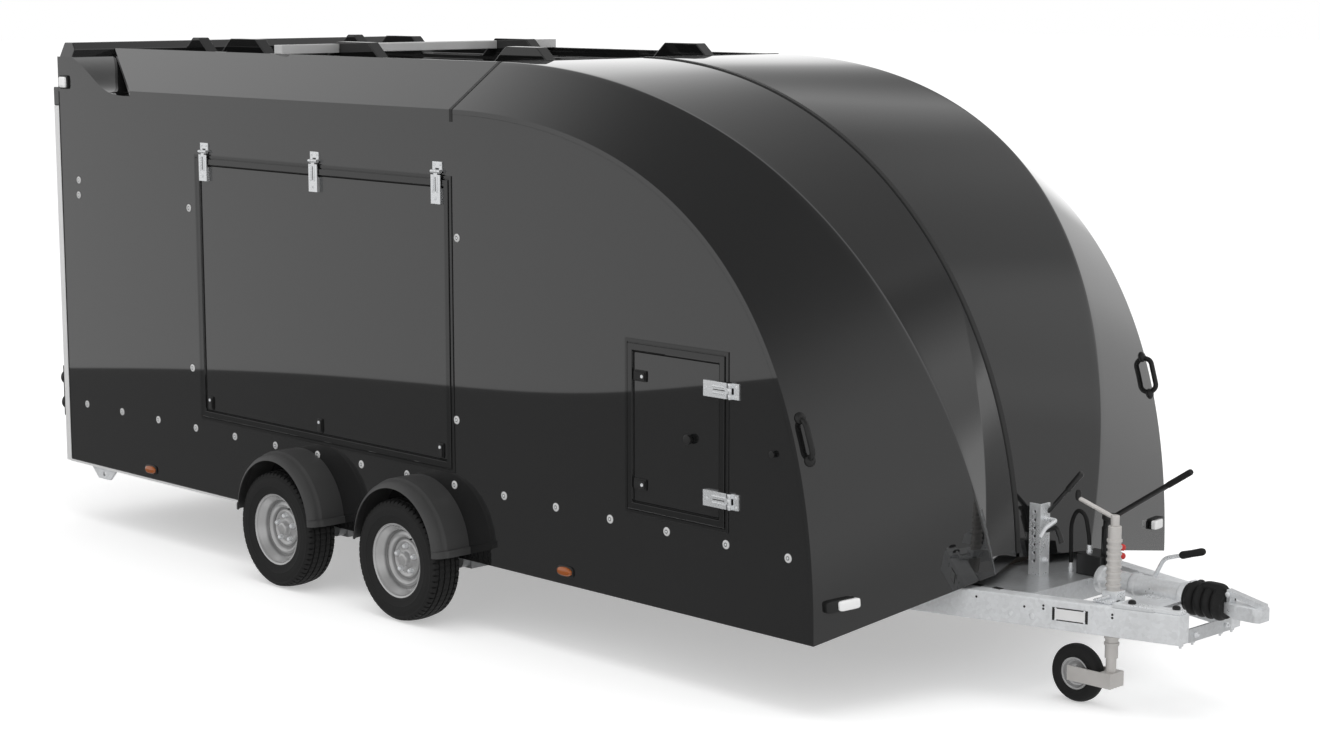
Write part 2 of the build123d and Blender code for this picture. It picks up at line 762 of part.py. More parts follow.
def steel_rim():
    """Drop-centre rim with its ringed disc outwards at +Y, hub and drum behind it, bored for the stub."""
    seat = rim_width / 2 - rim_lip
    lip_y = tyre_width * 0.4 + seam_gap
    barrel_top = [
        (-lip_y, rim_r),
        (-seat, rim_r),
        (well_y[0] - rim_lip, well_r),
        (well_y[1], well_r),
        (seat, rim_r),
        (lip_y, rim_r),
    ]
    barrel = turned_y(barrel_top + [(y, r - rim_wall) for y, r in barrel_top[::-1]])
    for side in (-1, 1):
        near, far = sorted((side * lip_y, side * (lip_y + rim_wall)))
        low, high = (rim_r - rim_wall, rim_r + rim_lip)
        barrel += turned_y([(near, low), (far, low), (far, high), (near, high)])
    disc_face = [
        (disc_y, 0),
        (disc_y, hub_r),
        (disc_y - disc_dish / 2, disc_ring_r - disc_dish),
        (disc_y + disc_dish / 2, disc_ring_r),
        (disc_y - disc_dish, disc_foot_r),
        (disc_y, well_r - rim_wall / 2),
    ]
    disc = turned_y(disc_face + [(y - disc_wall, r) for y, r in disc_face[::-1]])
    drum_low = half_width + backplate_gap + backplate_wall + 5 - wheel_mid_y
    drum = rod((0, drum_low, 0), (0, disc_y - 2 * disc_dish, 0), drum_r)
    hub = rod((0, drum_low, 0), (0, disc_y - disc_wall / 2, 0), hub_r)
    cap_end = disc_y + cap_length
    cap = turned_y(
        [
            (disc_y - disc_wall, 0),
            (disc_y - disc_wall, cap_r),
            (cap_end - cap_crown, cap_r),
            (cap_end, cap_r - cap_crown),
            (cap_end, 0),
        ]
    )
    bore = rod((0, drum_low - 1, 0), (0, hinge_clear, 0), stub_r + hinge_clear)
    return barrel + disc + drum + hub + cap - bore


tyre = tyre_ring(tyre_width, tyre_r, rim_r + hinge_clear, rim_lip + 3, 7)
rim = steel_rim()
for place, x in wheel_xs.items():
    at_left = Pos(x, wheel_mid_y, tyre_r)
    keep(f"tyre_{place}_left", at_left * tyre)
    keep(f"rim_{place}_left", at_left * rim)
    keep(f"tyre_{place}_right", left_of(at_left * tyre))
    keep(f"rim_{place}_right", left_of(at_left * rim))


# Mudguards: a half-round skin with a stepped, sloping outer band, and a foot at each end.
def mudguard(wheel_x):
    """Closed section in the level plane through the guard's middle, turned half round over the wheel."""
    band_y = guard_outer_y - guard_band
    step_r = guard_r - guard_step
    edge_r = guard_r - guard_drop
    bulge_y = (band_y + guard_outer_y) / 2 + guard_step
    bulge_r = (step_r + edge_r) / 2 + guard_step

    def at(y, r):
        return (wheel_x + r, y, guard_mid_z)

    top = [at(half_width, guard_r), at(band_y, guard_r), at(band_y + guard_step, step_r)]
    inside = [
        at(band_y, step_r - guard_wall),
        at(band_y - guard_step, guard_r - guard_wall),
        at(half_width, guard_r - guard_wall),
    ]
    edge = [at(guard_outer_y, edge_r), at(guard_outer_y - guard_wall, edge_r)]
    section = make_face(
        [
            Line(top[0], top[1]),
            Line(top[1], top[2]),
            ThreePointArc(top[2], at(bulge_y, bulge_r), edge[0]),
            Line(edge[0], edge[1]),
            ThreePointArc(edge[1], at(bulge_y - guard_wall, bulge_r - guard_wall / 2), inside[0]),
            Line(inside[0], inside[1]),
            Line(inside[1], inside[2]),
            Line(inside[2], top[0]),
        ]
    )
    guard = revolve(section, axis=Axis((wheel_x, 0, guard_mid_z), (0, -1, 0)), revolution_arc=180)
    for side in (-1, 1):
        foot_x = sorted((wheel_x + side * (guard_r - guard_wall), wheel_x + side * (guard_r + guard_foot)))
        guard += block(foot_x, (half_width, band_y), (guard_mid_z, guard_mid_z + guard_wall))
    return guard


guards_left = [mudguard(x) for x in wheel_xs.values()]
keep("mudguards", *guards_left, *[left_of(guard) for guard in guards_left])


# Sill strips and rear skid brackets under the side panels.
sill_strip_height = 10
sill_strip_wall = 5
sill_front_x = wheel_xs["rear"] - guard_r - 40
strip_y = (half_width, half_width + sill_strip_wall)
strip = block((rear_x, sill_front_x), strip_y, (skirt_z, skirt_z + sill_strip_height))
keep("sill_strips", strip, left_of(strip))
skid_inset = 280
skid_mid_x = rear_x + skid_inset
skid_low_z = 230
skid_top_half = 110
skid_foot_half = 50
skid = side_prism(
    [
        (skid_mid_x - skid_top_half, skirt_z),
        (skid_mid_x + skid_top_half, skirt_z),
        (skid_mid_x + skid_foot_half, skid_low_z),
        (skid_mid_x - skid_foot_half, skid_low_z),
    ],
    inner_y,
    inner_y + 12,
)
skid -= rod((skid_mid_x, inner_y - 1, skid_low_z + 26), (skid_mid_x, half_width, skid_low_z + 26), 12)
keep("rear_skids", skid, left_of(skid))


# Lamps: tail lamp plates with two domes on each post, clear and amber markers.
lamp_mid_y = half_width - post_width / 2
plate_x = (post_rear_x - lamp_plate_wall, post_rear_x)
lamp_plate = block(plate_x, (half_width - post_width, half_width), (lamp_plate_low_z, lamp_plate_high_z))
keep("tail_lamp_plates", lamp_plate, left_of(lamp_plate))


def lamp_dome(z):
    """Round lens turned about a lengthwise axis: a short drum closed by a domed cap that faces the rear."""
    back = plate_x[0]
    edge = back - lamp_dome_depth * 0.55
    tip = back - lamp_dome_depth
    ball_r = ((edge - tip) ** 2 + lamp_dome_r**2) / (2 * (edge - tip))
    crown = tip + ball_r - sqrt(ball_r**2 - (lamp_dome_r / 2) ** 2)
    rim_top = (edge, lamp_mid_y, z + lamp_dome_r)
    outline = [
        Line((back, lamp_mid_y, z), (back, lamp_mid_y, z + lamp_dome_r)),
        Line((back, lamp_mid_y, z + lamp_dome_r), rim_top),
        ThreePointArc(rim_top, (crown, lamp_mid_y, z + lamp_dome_r / 2), (tip, lamp_mid_y, z)),
        Line((tip, lamp_mid_y, z), (back, lamp_mid_y, z)),
    ]
    return revolve(make_face(outline), axis=Axis((0, lamp_mid_y, z), (1, 0, 0)))


dome_gap = (lamp_plate_high_z - lamp_plate_low_z) / 4
dome_mid = (lamp_plate_high_z + lamp_plate_low_z) / 2
domes = [lamp_dome(dome_mid + side * dome_gap) for side in (-1, 1)]
keep("tail_lamp_lenses", *domes, *[left_of(dome) for dome in domes])

marker_z = 340
marker_rear_inset = 717
marker_front_reach = 676
marker_xs = (rear_x + marker_rear_inset, moulding_joint_x + marker_front_reach)
marker_size = (70, 16, 26)
amber = [Pos(x, half_width + marker_size[1] / 2, marker_z) * Box(*marker_size) for x in marker_xs]
keep("side_marker_lamps", *amber, *[left_of(lamp) for lamp in amber])
clear_size = (62, 18, 52)
clear_rear_z = side_top_z + 30
clear_rear = Pos(rear_x + 60, half_width + clear_size[1] / 2, clear_rear_z) * Box(*clear_size)


# Coupling: overrun housing on flanges across the beams, bellows, and a pressed head with a ball socket.
flange_wall = 12
flange_low_x = housing_front_x - 150
collar_length = 24
collar_proud = 6
damper_r = 20
damper_end_x = housing_rear_x - wall + 2


def on_coupling(low_x, high_x, radius):
    """Round piece on the coupling's lengthwise axis."""
    return rod((low_x, 0, coupling_z), (high_x, 0, coupling_z), radius)


housing = on_coupling(housing_rear_x, housing_front_x, housing_r)
housing += on_coupling(housing_rear_x, housing_rear_x + collar_length, housing_r + collar_proud)
housing += on_coupling(housing_front_x - collar_length, housing_front_x, housing_r + collar_proud)
housing += on_coupling(damper_end_x, housing_rear_x, damper_r)
housing_flange = plan_prism(
    [
        (flange_low_x, -beam_side(flange_low_x, 0)),
        (housing_front_x, -beam_side(housing_front_x, 0)),
        (housing_front_x, beam_side(housing_front_x, 0)),
        (flange_low_x, beam_side(flange_low_x, 0)),
    ],
    chassis_top_z,
    chassis_top_z + flange_wall,
)
flange_bar_inset = 4
flange_bar_width = 40
flange_bar_height = 16
flange_bar = plan_prism(
    [
        (flange_low_x, beam_side(flange_low_x, flange_bar_inset)),
        (beam_front_x, beam_side(beam_front_x, flange_bar_inset)),
        (beam_front_x, beam_side(beam_front_x, flange_bar_inset + flange_bar_width)),
        (flange_low_x, beam_side(flange_low_x, flange_bar_inset + flange_bar_width)),
    ],
    chassis_top_z,
    chassis_top_z + flange_bar_height,
)
keep("coupling_housing", housing + housing_flange + flange_bar + left_of(flange_bar))

bellows = 4
gaiter_neck = 0.78
gaiter_points = [(housing_front_x, 0)]
fold = (gaiter_front_x - housing_front_x) / bellows
for i in range(bellows):
    start = housing_front_x + i * fold
    gaiter_points.append((start, gaiter_r * gaiter_neck))
    gaiter_points.append((start + fold * 0.3, gaiter_r))
    gaiter_points.append((start + fold * 0.7, gaiter_r))
gaiter_points += [(gaiter_front_x, gaiter_r * gaiter_neck), (gaiter_front_x, 0)]
gaiter_face = make_face(Polyline(*[(x, 0, coupling_z + r) for x, r in gaiter_points], close=True))
keep("coupling_gaiter", revolve(gaiter_face, axis=Axis((0, 0, coupling_z), (1, 0, 0))))

head_half = 40
grip_half = 16
head_low = coupling_z - 38
head_top = coupling_z + 12
neck_half = 26
head = side_prism(
    [
        (gaiter_front_x, coupling_z - neck_half),
        (ball_x - head_half, head_low),
        (coupling_tip_x - 12, head_low),
        (coupling_tip_x, head_low + 16),
        (coupling_tip_x - 10, head_top),
        (gaiter_front_x, head_top),
    ],
    -head_half,
    head_half,
)
jaw_x = coupling_tip_x - head_half
neck = [(gaiter_front_x, side * neck_half, head_low) for side in (-1, 1)]
cheeks = [(ball_x - head_half, side * head_half, head_low) for side in (-1, 1)]
jaws = [(jaw_x, side * head_half, head_low) for side in (-1, 1)]
jaw_plan = make_face(
    [
        Line(neck[0], cheeks[0]),
        Line(cheeks[0], jaws[0]),
        ThreePointArc(jaws[0], (coupling_tip_x, 0, head_low), jaws[1]),
        Line(jaws[1], cheeks[1]),
        Line(cheeks[1], neck[1]),
        Line(neck[1], neck[0]),
    ]
)
head &= extrude(jaw_plan, amount=head_top - head_low, dir=(0, 0, 1))
head -= rod((ball_x, 0, head_low - 1), (ball_x, 0, head_low + socket_depth), socket_r)
grip_wall = 14
grip_rear_z = coupling_z + 59
grip_front_z = coupling_z + 27
grip_x = (gaiter_front_x + 3, coupling_tip_x - 9)
grip_outline = [
    (grip_x[0], head_top),
    (grip_x[0], grip_rear_z),
    (grip_x[1], grip_front_z),
    (grip_x[1], head_top),
]
grip = side_prism(grip_outline, -grip_half, grip_half)
finger_hole = side_prism(
    [
        (grip_x[0] + grip_wall, head_top),
        (grip_x[0] + grip_wall, grip_rear_z - 1.5 * grip_wall),
        (grip_x[1] - 2 * grip_wall, head_top),
    ],
    -head_half,
    head_half,
)
keep("coupling_head", head + (grip - finger_hole))


# Handbrake lever beside the housing.
lever_r = 8
lever_y = housing_r + lever_r + hinge_clear
lever_path = [
    (3270, lever_y, chassis_top_z + flange_wall),
    (3330, lever_y, 540),
    (3400, lever_y, 562),
]
lever_end = lever_path[2]
lever_way = (Vector(*lever_path[2]) - Vector(*lever_path[1])).normalized()
grip_end = Vector(*lever_end) + lever_way * 110
keep("handbrake_lever", bent_rod(lever_path, 25, lever_r) + rod(lever_end, tuple(grip_end), 15))


# Jockey wheel: clamp and ribbed tube fixed to the right beam, a sliding stem, a swivel fork and its wheel.
tube_z = (jockey_tube_low_z, jockey_tube_high_z)
clamp_top_z = chassis_top_z + 40
jockey_tube = rod((jockey_x, jockey_y, tube_z[0]), (jockey_x, jockey_y, tube_z[1]), jockey_tube_r)
rib_pitch = 24
rib_proud = 4
rib_counts = {clamp_top_z + rib_pitch / 2: 8, tube_z[0] + 2 * rib_pitch: 2}
for first_z, count in rib_counts.items():
    for i in range(count):
        z = first_z + i * rib_pitch
        ring_top = (jockey_x, jockey_y, z + rib_pitch / 2)
        jockey_tube += rod((jockey_x, jockey_y, z), ring_top, jockey_tube_r + rib_proud)
clamp_margin = 8
clamp_x = (jockey_x - jockey_tube_r - clamp_margin, jockey_x + jockey_tube_r + clamp_margin)
clamp = block(
    clamp_x,
    (jockey_y - jockey_tube_r - 2, jockey_y + jockey_tube_r + clamp_margin),
    (chassis_top_z, clamp_top_z),
)
clamp_foot = block(
    clamp_x,
    (jockey_y - jockey_tube_r - 40, jockey_y),
    (chassis_top_z, chassis_top_z + flange_wall),
)
jockey_tube += [clamp, clamp_foot]
tube_bore_r = jockey_stem_r + hinge_clear
jockey_tube -= rod((jockey_x, jockey_y, tube_z[0] - 1), (jockey_x, jockey_y, tube_z[1] - 20), tube_bore_r)
crank_z = tube_z[1] + 40
crank_length = 165
crank_rise = 40
crank_end = (jockey_x - crank_length, jockey_y, crank_z + crank_rise)
crank = rod((jockey_x, jockey_y, tube_z[1]), (jockey_x, jockey_y, crank_z), 16)
crank += rod((jockey_x, jockey_y, crank_z - 12), crank_end, 10)
crank += rod(crank_end, (crank_end[0], crank_end[1], crank_end[2] + 30), 8)
keep("jockey_tube", jockey_tube + crank)

wheel_r = jockey_wheel_d / 2
stem_z = (jockey_stem_low_z, jockey_stem_high_z)
keep("jockey_stem", rod((jockey_x, jockey_y, stem_z[0]), (jockey_x, jockey_y, stem_z[1]), jockey_stem_r))
fork_half = jockey_wheel_width / 2 + jockey_arm_gap + jockey_arm_wall
fork_z = (stem_z[0] - 10, stem_z[0] - 10 + jockey_arm_height)
axle_x = jockey_x - jockey_trail
fork_x = (jockey_x - jockey_stem_r - 4, jockey_x + jockey_stem_r + 8)
fork = block(fork_x, (jockey_y - fork_half, jockey_y + fork_half), fork_z)
fork -= rod((jockey_x, jockey_y, stem_z[0] - hinge_clear), (jockey_x, jockey_y, fork_z[1] + 1), tube_bore_r)
for side in (-1, 1):
    arm_y = sorted((jockey_y + side * fork_half, jockey_y + side * (fork_half - jockey_arm_wall)))
    fork += block((axle_x - 20, jockey_x), arm_y, fork_z)
fork += rod((axle_x, jockey_y - fork_half, wheel_r), (axle_x, jockey_y + fork_half, wheel_r), 8)
keep("jockey_fork", fork)
jockey_rim_r = 62
at_jockey = Pos(axle_x, jockey_y, wheel_r)
jockey_tyre = tyre_ring(jockey_wheel_width, wheel_r, jockey_rim_r + hinge_clear, 4, 6)
keep("jockey_tyre", at_jockey * jockey_tyre)
jockey_hub_half = jockey_wheel_width / 2 + jockey_arm_gap - hinge_clear
jockey_rim = turned_y(
    [
        (-jockey_hub_half, 8 + hinge_clear),
        (jockey_hub_half, 8 + hinge_clear),
        (jockey_hub_half, 20),
        (10, 24),
        (10, 48),
        (24, 54),
        (24, jockey_rim_r),
        (-24, jockey_rim_r),
        (-24, 54),
        (-10, 48),
        (-10, 24),
        (-jockey_hub_half, 20),
    ]
)
keep("jockey_rim", at_jockey * jockey_rim)


# Tilt hand pump with its tank, lever and hose, and the drilled prop post, on the plate between the beams.
pump_x = 3035
pump_y = 130
pump_r = 34
pump_top_z = 650
pump_lever_r = 12
pump_lever_run = 353
pump_lever_rise = 233
tank_length = 80
tank_half = 60
tank_height = 82
tank_x = (pump_x - pump_r - tank_length, pump_x)
pump = block(tank_x, (pump_y - tank_half, pump_y + tank_half), (chassis_top_z, chassis_top_z + tank_height))
pump += rod((pump_x, pump_y, chassis_top_z), (pump_x, pump_y, pump_top_z), pump_r)
lever_foot = (pump_x, pump_y, pump_top_z - pump_r / 2)
pump_lever_end = (pump_x + pump_lever_run, pump_y, lever_foot[2] + pump_lever_rise)
keep("tilt_pump", pump + rod(lever_foot, pump_lever_end, pump_lever_r))

hose_r = 8
hose_bend = 36
hose_top_z = 650
hose_y = pump_y - tank_half + 3 * hose_r
hose_start_x = tank_x[0] - 40
hose_end_x = tank_x[0] + tank_length - hose_bend
hose_path = [
    (hose_start_x, hose_y, chassis_top_z),
    (hose_start_x, hose_y, hose_top_z),
    (hose_end_x, hose_y, hose_top_z),
    (hose_end_x, hose_y, chassis_top_z + tank_height),
]
keep("pump_hose", bent_rod(hose_path, hose_bend, hose_r))

prop_x = 2850
prop_y = (-70, -10)
prop_wall = 8
prop_depth = 50
prop_top_z = 690
prop_hole_r = 6
prop_hole_pitch = 32
prop_z = (chassis_top_z, prop_top_z)
prop = block((prop_x - prop_wall / 2, prop_x + prop_wall / 2), prop_y, prop_z)
prop += block((prop_x - prop_depth, prop_x), (prop_y[0], prop_y[0] + prop_wall), prop_z)
prop_hole_count = int((prop_top_z - chassis_top_z) / prop_hole_pitch) - 1
for i in range(prop_hole_count):
    z = prop_top_z - (i + 1) * prop_hole_pitch
    x = prop_x - prop_depth / 2
    prop -= rod((x, prop_y[0] - 1, z), (x, prop_y[0] + prop_wall + 1, z), prop_hole_r)
keep("prop_post", prop)


# Nose fittings: grab handles and clear front markers seated on the bevels, with the other clear markers.
def cubic(corners, t):
    """Point of a cubic with four corner points."""
    shares = ((1 - t) ** 3, 3 * (1 - t) ** 2 * t, 3 * (1 - t) * t**2, t**3)
    return sum((Vector(*corner) * share for corner, share in zip(corners, shares)), Vector(0, 0, 0))


def bevel_plane(t, s):
    """Plane on the right bevel, t down the nose and s from the side rib to the bevel rib, facing outwards."""
    near = cubic(side_curve(0), t)
    far = cubic(bevel_curve(0), t)
    step = 0.001
    down = cubic(side_curve(0), t + step) * (1 - s) + cubic(bevel_curve(0), t + step) * s
    spot = near * (1 - s) + far * s
    return Plane(origin=spot, x_dir=far - near, z_dir=(down - spot).cross(far - near))


handle_s = 0.06
handle_ts = (0.745, 0.805)
handle_reach = 34
handle_r = 9
handle_sink = 12


def grab_handle():
    feet = [bevel_plane(t, handle_s) for t in handle_ts]
    corners = [
        feet[0].origin - feet[0].z_dir * handle_sink,
        feet[0].origin * 0.85 + feet[1].origin * 0.15 + feet[0].z_dir * handle_reach,
        feet[1].origin * 0.85 + feet[0].origin * 0.15 + feet[1].z_dir * handle_reach,
        feet[1].origin - feet[1].z_dir * handle_sink,
    ]
    return bent_rod(corners, 2 * handle_r, handle_r) - moulding_right


handle = grab_handle()
keep("grab_handles", handle, left_of(handle), locker_stop)
front_lamp_t = 0.955
front_lamp_s = 0.155
front_lamp_size = (90, 46, 2 * clear_size[1])
front_lamp = bevel_plane(front_lamp_t, front_lamp_s) * Box(*front_lamp_size) - moulding_right
front_lamp = front_lamp.solids().sort_by(Axis.X)[-1]
keep("clear_marker_lamps", clear_rear, left_of(clear_rear), front_lamp, left_of(front_lamp))


# Finished part: every node shifted so that the origin is below the middle of the trailer.
os.makedirs("parts", exist_ok=True)
for name, solids in nodes.items():
    placed = [Pos(-origin_x, 0, 0) * solid for solid in solids]
    whole = placed[0] if len(placed) == 1 else Compound(children=placed)
    export_step(whole, f"parts/{name}.step")
print(len(nodes), "nodes, origin shifted by", -origin_x)
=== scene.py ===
import bmesh
import bpy
import numpy as np
from math import cos, pi, radians, sin, tan
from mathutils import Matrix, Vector


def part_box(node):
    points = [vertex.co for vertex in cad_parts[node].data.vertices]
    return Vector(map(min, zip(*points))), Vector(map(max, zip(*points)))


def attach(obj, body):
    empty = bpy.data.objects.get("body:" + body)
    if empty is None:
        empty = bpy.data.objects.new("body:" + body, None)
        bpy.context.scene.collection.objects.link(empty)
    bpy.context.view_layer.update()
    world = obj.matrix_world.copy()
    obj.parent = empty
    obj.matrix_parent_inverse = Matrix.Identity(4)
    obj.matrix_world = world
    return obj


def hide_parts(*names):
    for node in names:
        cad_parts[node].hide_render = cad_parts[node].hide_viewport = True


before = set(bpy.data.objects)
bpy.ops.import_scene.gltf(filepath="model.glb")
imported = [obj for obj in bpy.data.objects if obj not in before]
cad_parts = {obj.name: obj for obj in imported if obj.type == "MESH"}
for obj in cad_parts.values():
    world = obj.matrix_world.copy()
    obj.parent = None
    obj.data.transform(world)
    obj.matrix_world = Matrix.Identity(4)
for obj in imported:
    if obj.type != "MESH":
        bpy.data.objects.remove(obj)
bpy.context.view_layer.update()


# Axles, rails, cross members and rear brackets: folded steel, welded and then dipped in zinc. The zinc sets
# in crystals some millimetres across, bright and dull side by side. Under the floor a darker copy of the same
# zinc is painted shade.
class Value:
    """A number that varies over a surface: arithmetic on it adds Math nodes to its material."""

    def __init__(self, finish, socket):
        self.finish = finish
        self.socket = socket

    def math(self, operation, left, right=0.0):
        return self.finish.node("ShaderNodeMath", {"operation": operation}, {0: left, 1: right})

    def __add__(self, other):
        return self.math("ADD", self, other)

    __radd__ = __add__

    def __mul__(self, other):
        return self.math("MULTIPLY", self, other)

    __rmul__ = __mul__

    def __sub__(self, other):
        return self.math("SUBTRACT", self, other)

    def __rsub__(self, other):
        return self.math("SUBTRACT", other, self)

    def __truediv__(self, other):
        return self.math("DIVIDE", self, other)

    def __rtruediv__(self, other):
        return self.math("DIVIDE", other, self)

    def __abs__(self):
        return self.math("ABSOLUTE", self)

    def root(self):
        return self.math("SQRT", self)


class Finish:
    """One material: constants sit on the shader's own sockets, and node() adds whatever varies."""

    def __init__(self, name, **constants):
        self.material = bpy.data.materials.new(name)
        self.material.use_nodes = True
        self.tree = self.material.node_tree
        self.shader = self.tree.nodes["Principled BSDF"]
        for socket, value in constants.items():
            self.shader.inputs[socket.replace("_", " ")].default_value = value
        self.place = self.node("ShaderNodeTexCoord", {}, {}, "Object")

    def node(self, kind, settings, sockets, out=0):
        """Add a node: settings first, then numbers, colours or links for its sockets."""
        made = self.tree.nodes.new(kind)
        for name, value in settings.items():
            setattr(made, name, value)
        for name, value in sockets.items():
            if isinstance(value, Value):
                self.tree.links.new(value.socket, made.inputs[name])
            else:
                made.inputs[name].default_value = value
        return Value(self, made.outputs[out])

    def axes(self, names):
        """The place along each of the named axes."""
        return [self.node("ShaderNodeSeparateXYZ", {}, {"Vector": self.place}, name) for name in names]

    def noise(self, scale, detail=3.0):
        """Cloudy value about one half, the given number of clouds to a metre."""
        return self.node("ShaderNodeTexNoise", {}, {"Vector": self.place, "Scale": scale, "Detail": detail})

    def cells(self, scale, out):
        """Irregular cells, the given number to a metre: their distance or their own random colour."""
        return self.node("ShaderNodeTexVoronoi", {}, {"Vector": self.place, "Scale": scale}, out)

    def ramp(self, value, low, high):
        """0 below low and 1 above high, smooth between."""
        ends = {"Value": value, "From Min": low, "From Max": high}
        return self.node("ShaderNodeMapRange", {"interpolation_type": "SMOOTHSTEP"}, ends)

    def mix(self, factor, first, second):
        """Colour between two colours."""
        return self.node("ShaderNodeMix", {"data_type": "RGBA"}, {0: factor, 6: first, 7: second}, 2)

    def drive(self, **links):
        """Link varying values to the shader's sockets by name."""
        for socket, value in links.items():
            self.tree.links.new(value.socket, self.shader.inputs[socket.replace("_", " ")])

    def bump(self, height, distance):
        """Raise the surface by a height of 0 to 1 times a distance in metres."""
        self.drive(Normal=self.node("ShaderNodeBump", {}, {"Height": height, "Distance": distance}))


def grey(level, blue=0.0):
    """Opaque grey in linear light, shifted a little to blue."""
    return (level * (1 - blue), level, level * (1 + blue), 1.0)


def round_edges(made, width, angle):
    """Round the edges that turn by more than an angle in degrees."""
    rounding = made.modifiers.new("rounded_edges", "BEVEL")
    rounding.width = width
    rounding.segments = 2
    rounding.limit_method = "ANGLE"
    rounding.angle_limit = radians(angle)


def dress(finish, *names, edge=0.0):
    """Give CAD nodes a finish and, with an edge width, close their triangles and round their edges."""
    for name in names:
        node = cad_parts[name]
        node.data.materials.clear()
        node.data.materials.append(finish.material)
        if edge:
            node.modifiers.new("closed", "WELD").merge_threshold = 0.00001
            round_edges(node, edge, 40.0)


def zinc_skin(name, dull, bright, crystals, metal=0.35, roughness=0.28, lumps=0.0006):
    """Zinc over steel: so many crystals to a metre, clouded by handling, on lumps of a height in metres."""
    made = Finish(name, Metallic=metal)
    shade = made.node("ShaderNodeSeparateColor", {}, {"Color": made.cells(crystals, "Color")})
    cloud = made.noise(9.0, 5.0)
    tone = shade * 0.3 + cloud * 0.7 + made.noise(70.0, 2.0) * 0.15
    colour = made.mix(tone, grey(dull, 0.015), grey(bright, 0.02))
    made.drive(Base_Color=colour, Roughness=roughness + tone * 0.26)
    made.bump(cloud, lumps)
    return made


galvanised = zinc_skin("galvanised", 0.66, 0.94, 70.0)
# painted shade: a darker copy of the zinc for the parts in shade under the floor
painted_shade_zinc = zinc_skin("painted_shade_zinc", 0.24, 0.40, 70.0)
dress(painted_shade_zinc, "axles", "chassis_rails", "cross_members")
dress(galvanised, "rear_skids", "ramp_hinges")
dress(galvanised, "rear_sill", edge=0.002)


# Deck: birch plywood boards laid on the cross members, faced with brown resin film that is printed with a
# fine wire mesh for grip.
deck_film = Finish("resin_board", Roughness=0.5)
film_tones = [(0.030, 0.022, 0.016, 1), (0.062, 0.047, 0.036, 1)]
deck_film.drive(Base_Color=deck_film.mix(deck_film.noise(3.0, 4.0), *film_tones))
deck_film.bump(deck_film.cells(260.0, "Distance"), 0.0006)
dress(deck_film, "deck")


# Steel wheels: a drop-centre rim with a ringed disc, sprayed silver with painted shade in its grooves, on a
# hub with five domed nuts, a dust cap and a rubber valve. Lengths along X, here and below, are taped from the
# middle of the two axles, and piece() carries them into the frame.
tyre_boxes = {place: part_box(f"tyre_{place}_left") for place in ("front", "rear")}
axle_xs = {place: (low.x + high.x) / 2 for place, (low, high) in tyre_boxes.items()}
axle_mid_x = sum(axle_xs.values()) / 2
half_base = (axle_xs["front"] - axle_xs["rear"]) / 2
sides = {"left": 1.0, "right": -1.0}
wheels = {f"{end}_{side}": (axle_xs[end] - axle_mid_x, sides[side]) for end in axle_xs for side in sides}
wheel_y = 1.1875
wheel_r = 0.260


def skin(points, wrap_rows=False, wrap_columns=False):
    """Quads between neighbouring points of a grid; a wrapped direction joins its last line to its first."""
    rows, columns = points.shape[:2]
    row = np.arange(rows if wrap_rows else rows - 1)[:, None]
    column = np.arange(columns if wrap_columns else columns - 1)
    next_row = (row + 1) % rows
    next_column = (column + 1) % columns
    corners = [(row, column), (row, next_column), (next_row, next_column), (next_row, column)]
    quads = np.stack([down * columns + across for down, across in corners], -1)
    return points.reshape(-1, 3), quads.reshape(-1, 4)


def lid(ring):
    """One flat face over a ring of points."""
    return ring, np.arange(len(ring))[None]


def capped(rings):
    """A wall round a run of rings, with a flat face over each end."""
    return [skin(rings, False, True), lid(rings[0]), lid(rings[-1])]


def soft(points, radius, steps=4, closed=False):
    """Round the corners of an outline: each becomes a parabola between points set back along its two sides,
    by the radius or by 0.48 of the side, whichever is less."""
    points = np.asarray(points, float)
    runs = [np.roll(points, step, axis=0) - points for step in (1, -1)]
    lengths = [np.maximum(np.linalg.norm(run, axis=1, keepdims=True), 1e-9) for run in runs]
    start, end = [points + run * np.minimum(radius / length, 0.48) for run, length in zip(runs, lengths)]
    share = np.linspace(0, 1, steps)[:, None]
    before, middle, after = (1 - share) ** 2, 2 * share * (1 - share), share**2
    curve = before * start[:, None] + middle * points[:, None] + after * end[:, None]
    if closed:
        return curve.reshape(-1, points.shape[1])
    return np.concatenate([points[:1], curve[1:-1].reshape(-1, points.shape[1]), points[-1:]])


def square_to(axis):
    """An axis as a unit direction, and two unit directions square to it and to each other."""
    axis = np.asarray(axis, float) / np.linalg.norm(axis)
    first = np.cross(axis, (0, 0, 1) if abs(axis[2]) < 0.9 else (1, 0, 0))
    first /= np.linalg.norm(first)
    return axis, first, np.cross(axis, first)


def turned(profile, centre, axis, count=48, closed=False):
    """Surface of revolution: each (along, radius) of the profile swings once round the axis."""
    profile = np.asarray(profile, float)
    along, first, second = square_to(axis)
    turn = np.linspace(0, 2 * pi, count, endpoint=False)[:, None]
    ring = np.cos(turn) * first + np.sin(turn) * second
    points = np.asarray(centre, float) + profile[:, :1, None] * along + profile[:, 1:, None] * ring
    return skin(points, closed, True)


def lathe(outline, radius, spots, axis, count, steps=4):
    """Turned parts, one at each spot: an outline with its corners rounded, swung once round the axis."""
    profile = soft(outline, radius, steps)
    return [turned(profile, spot, axis, count) for spot in spots]


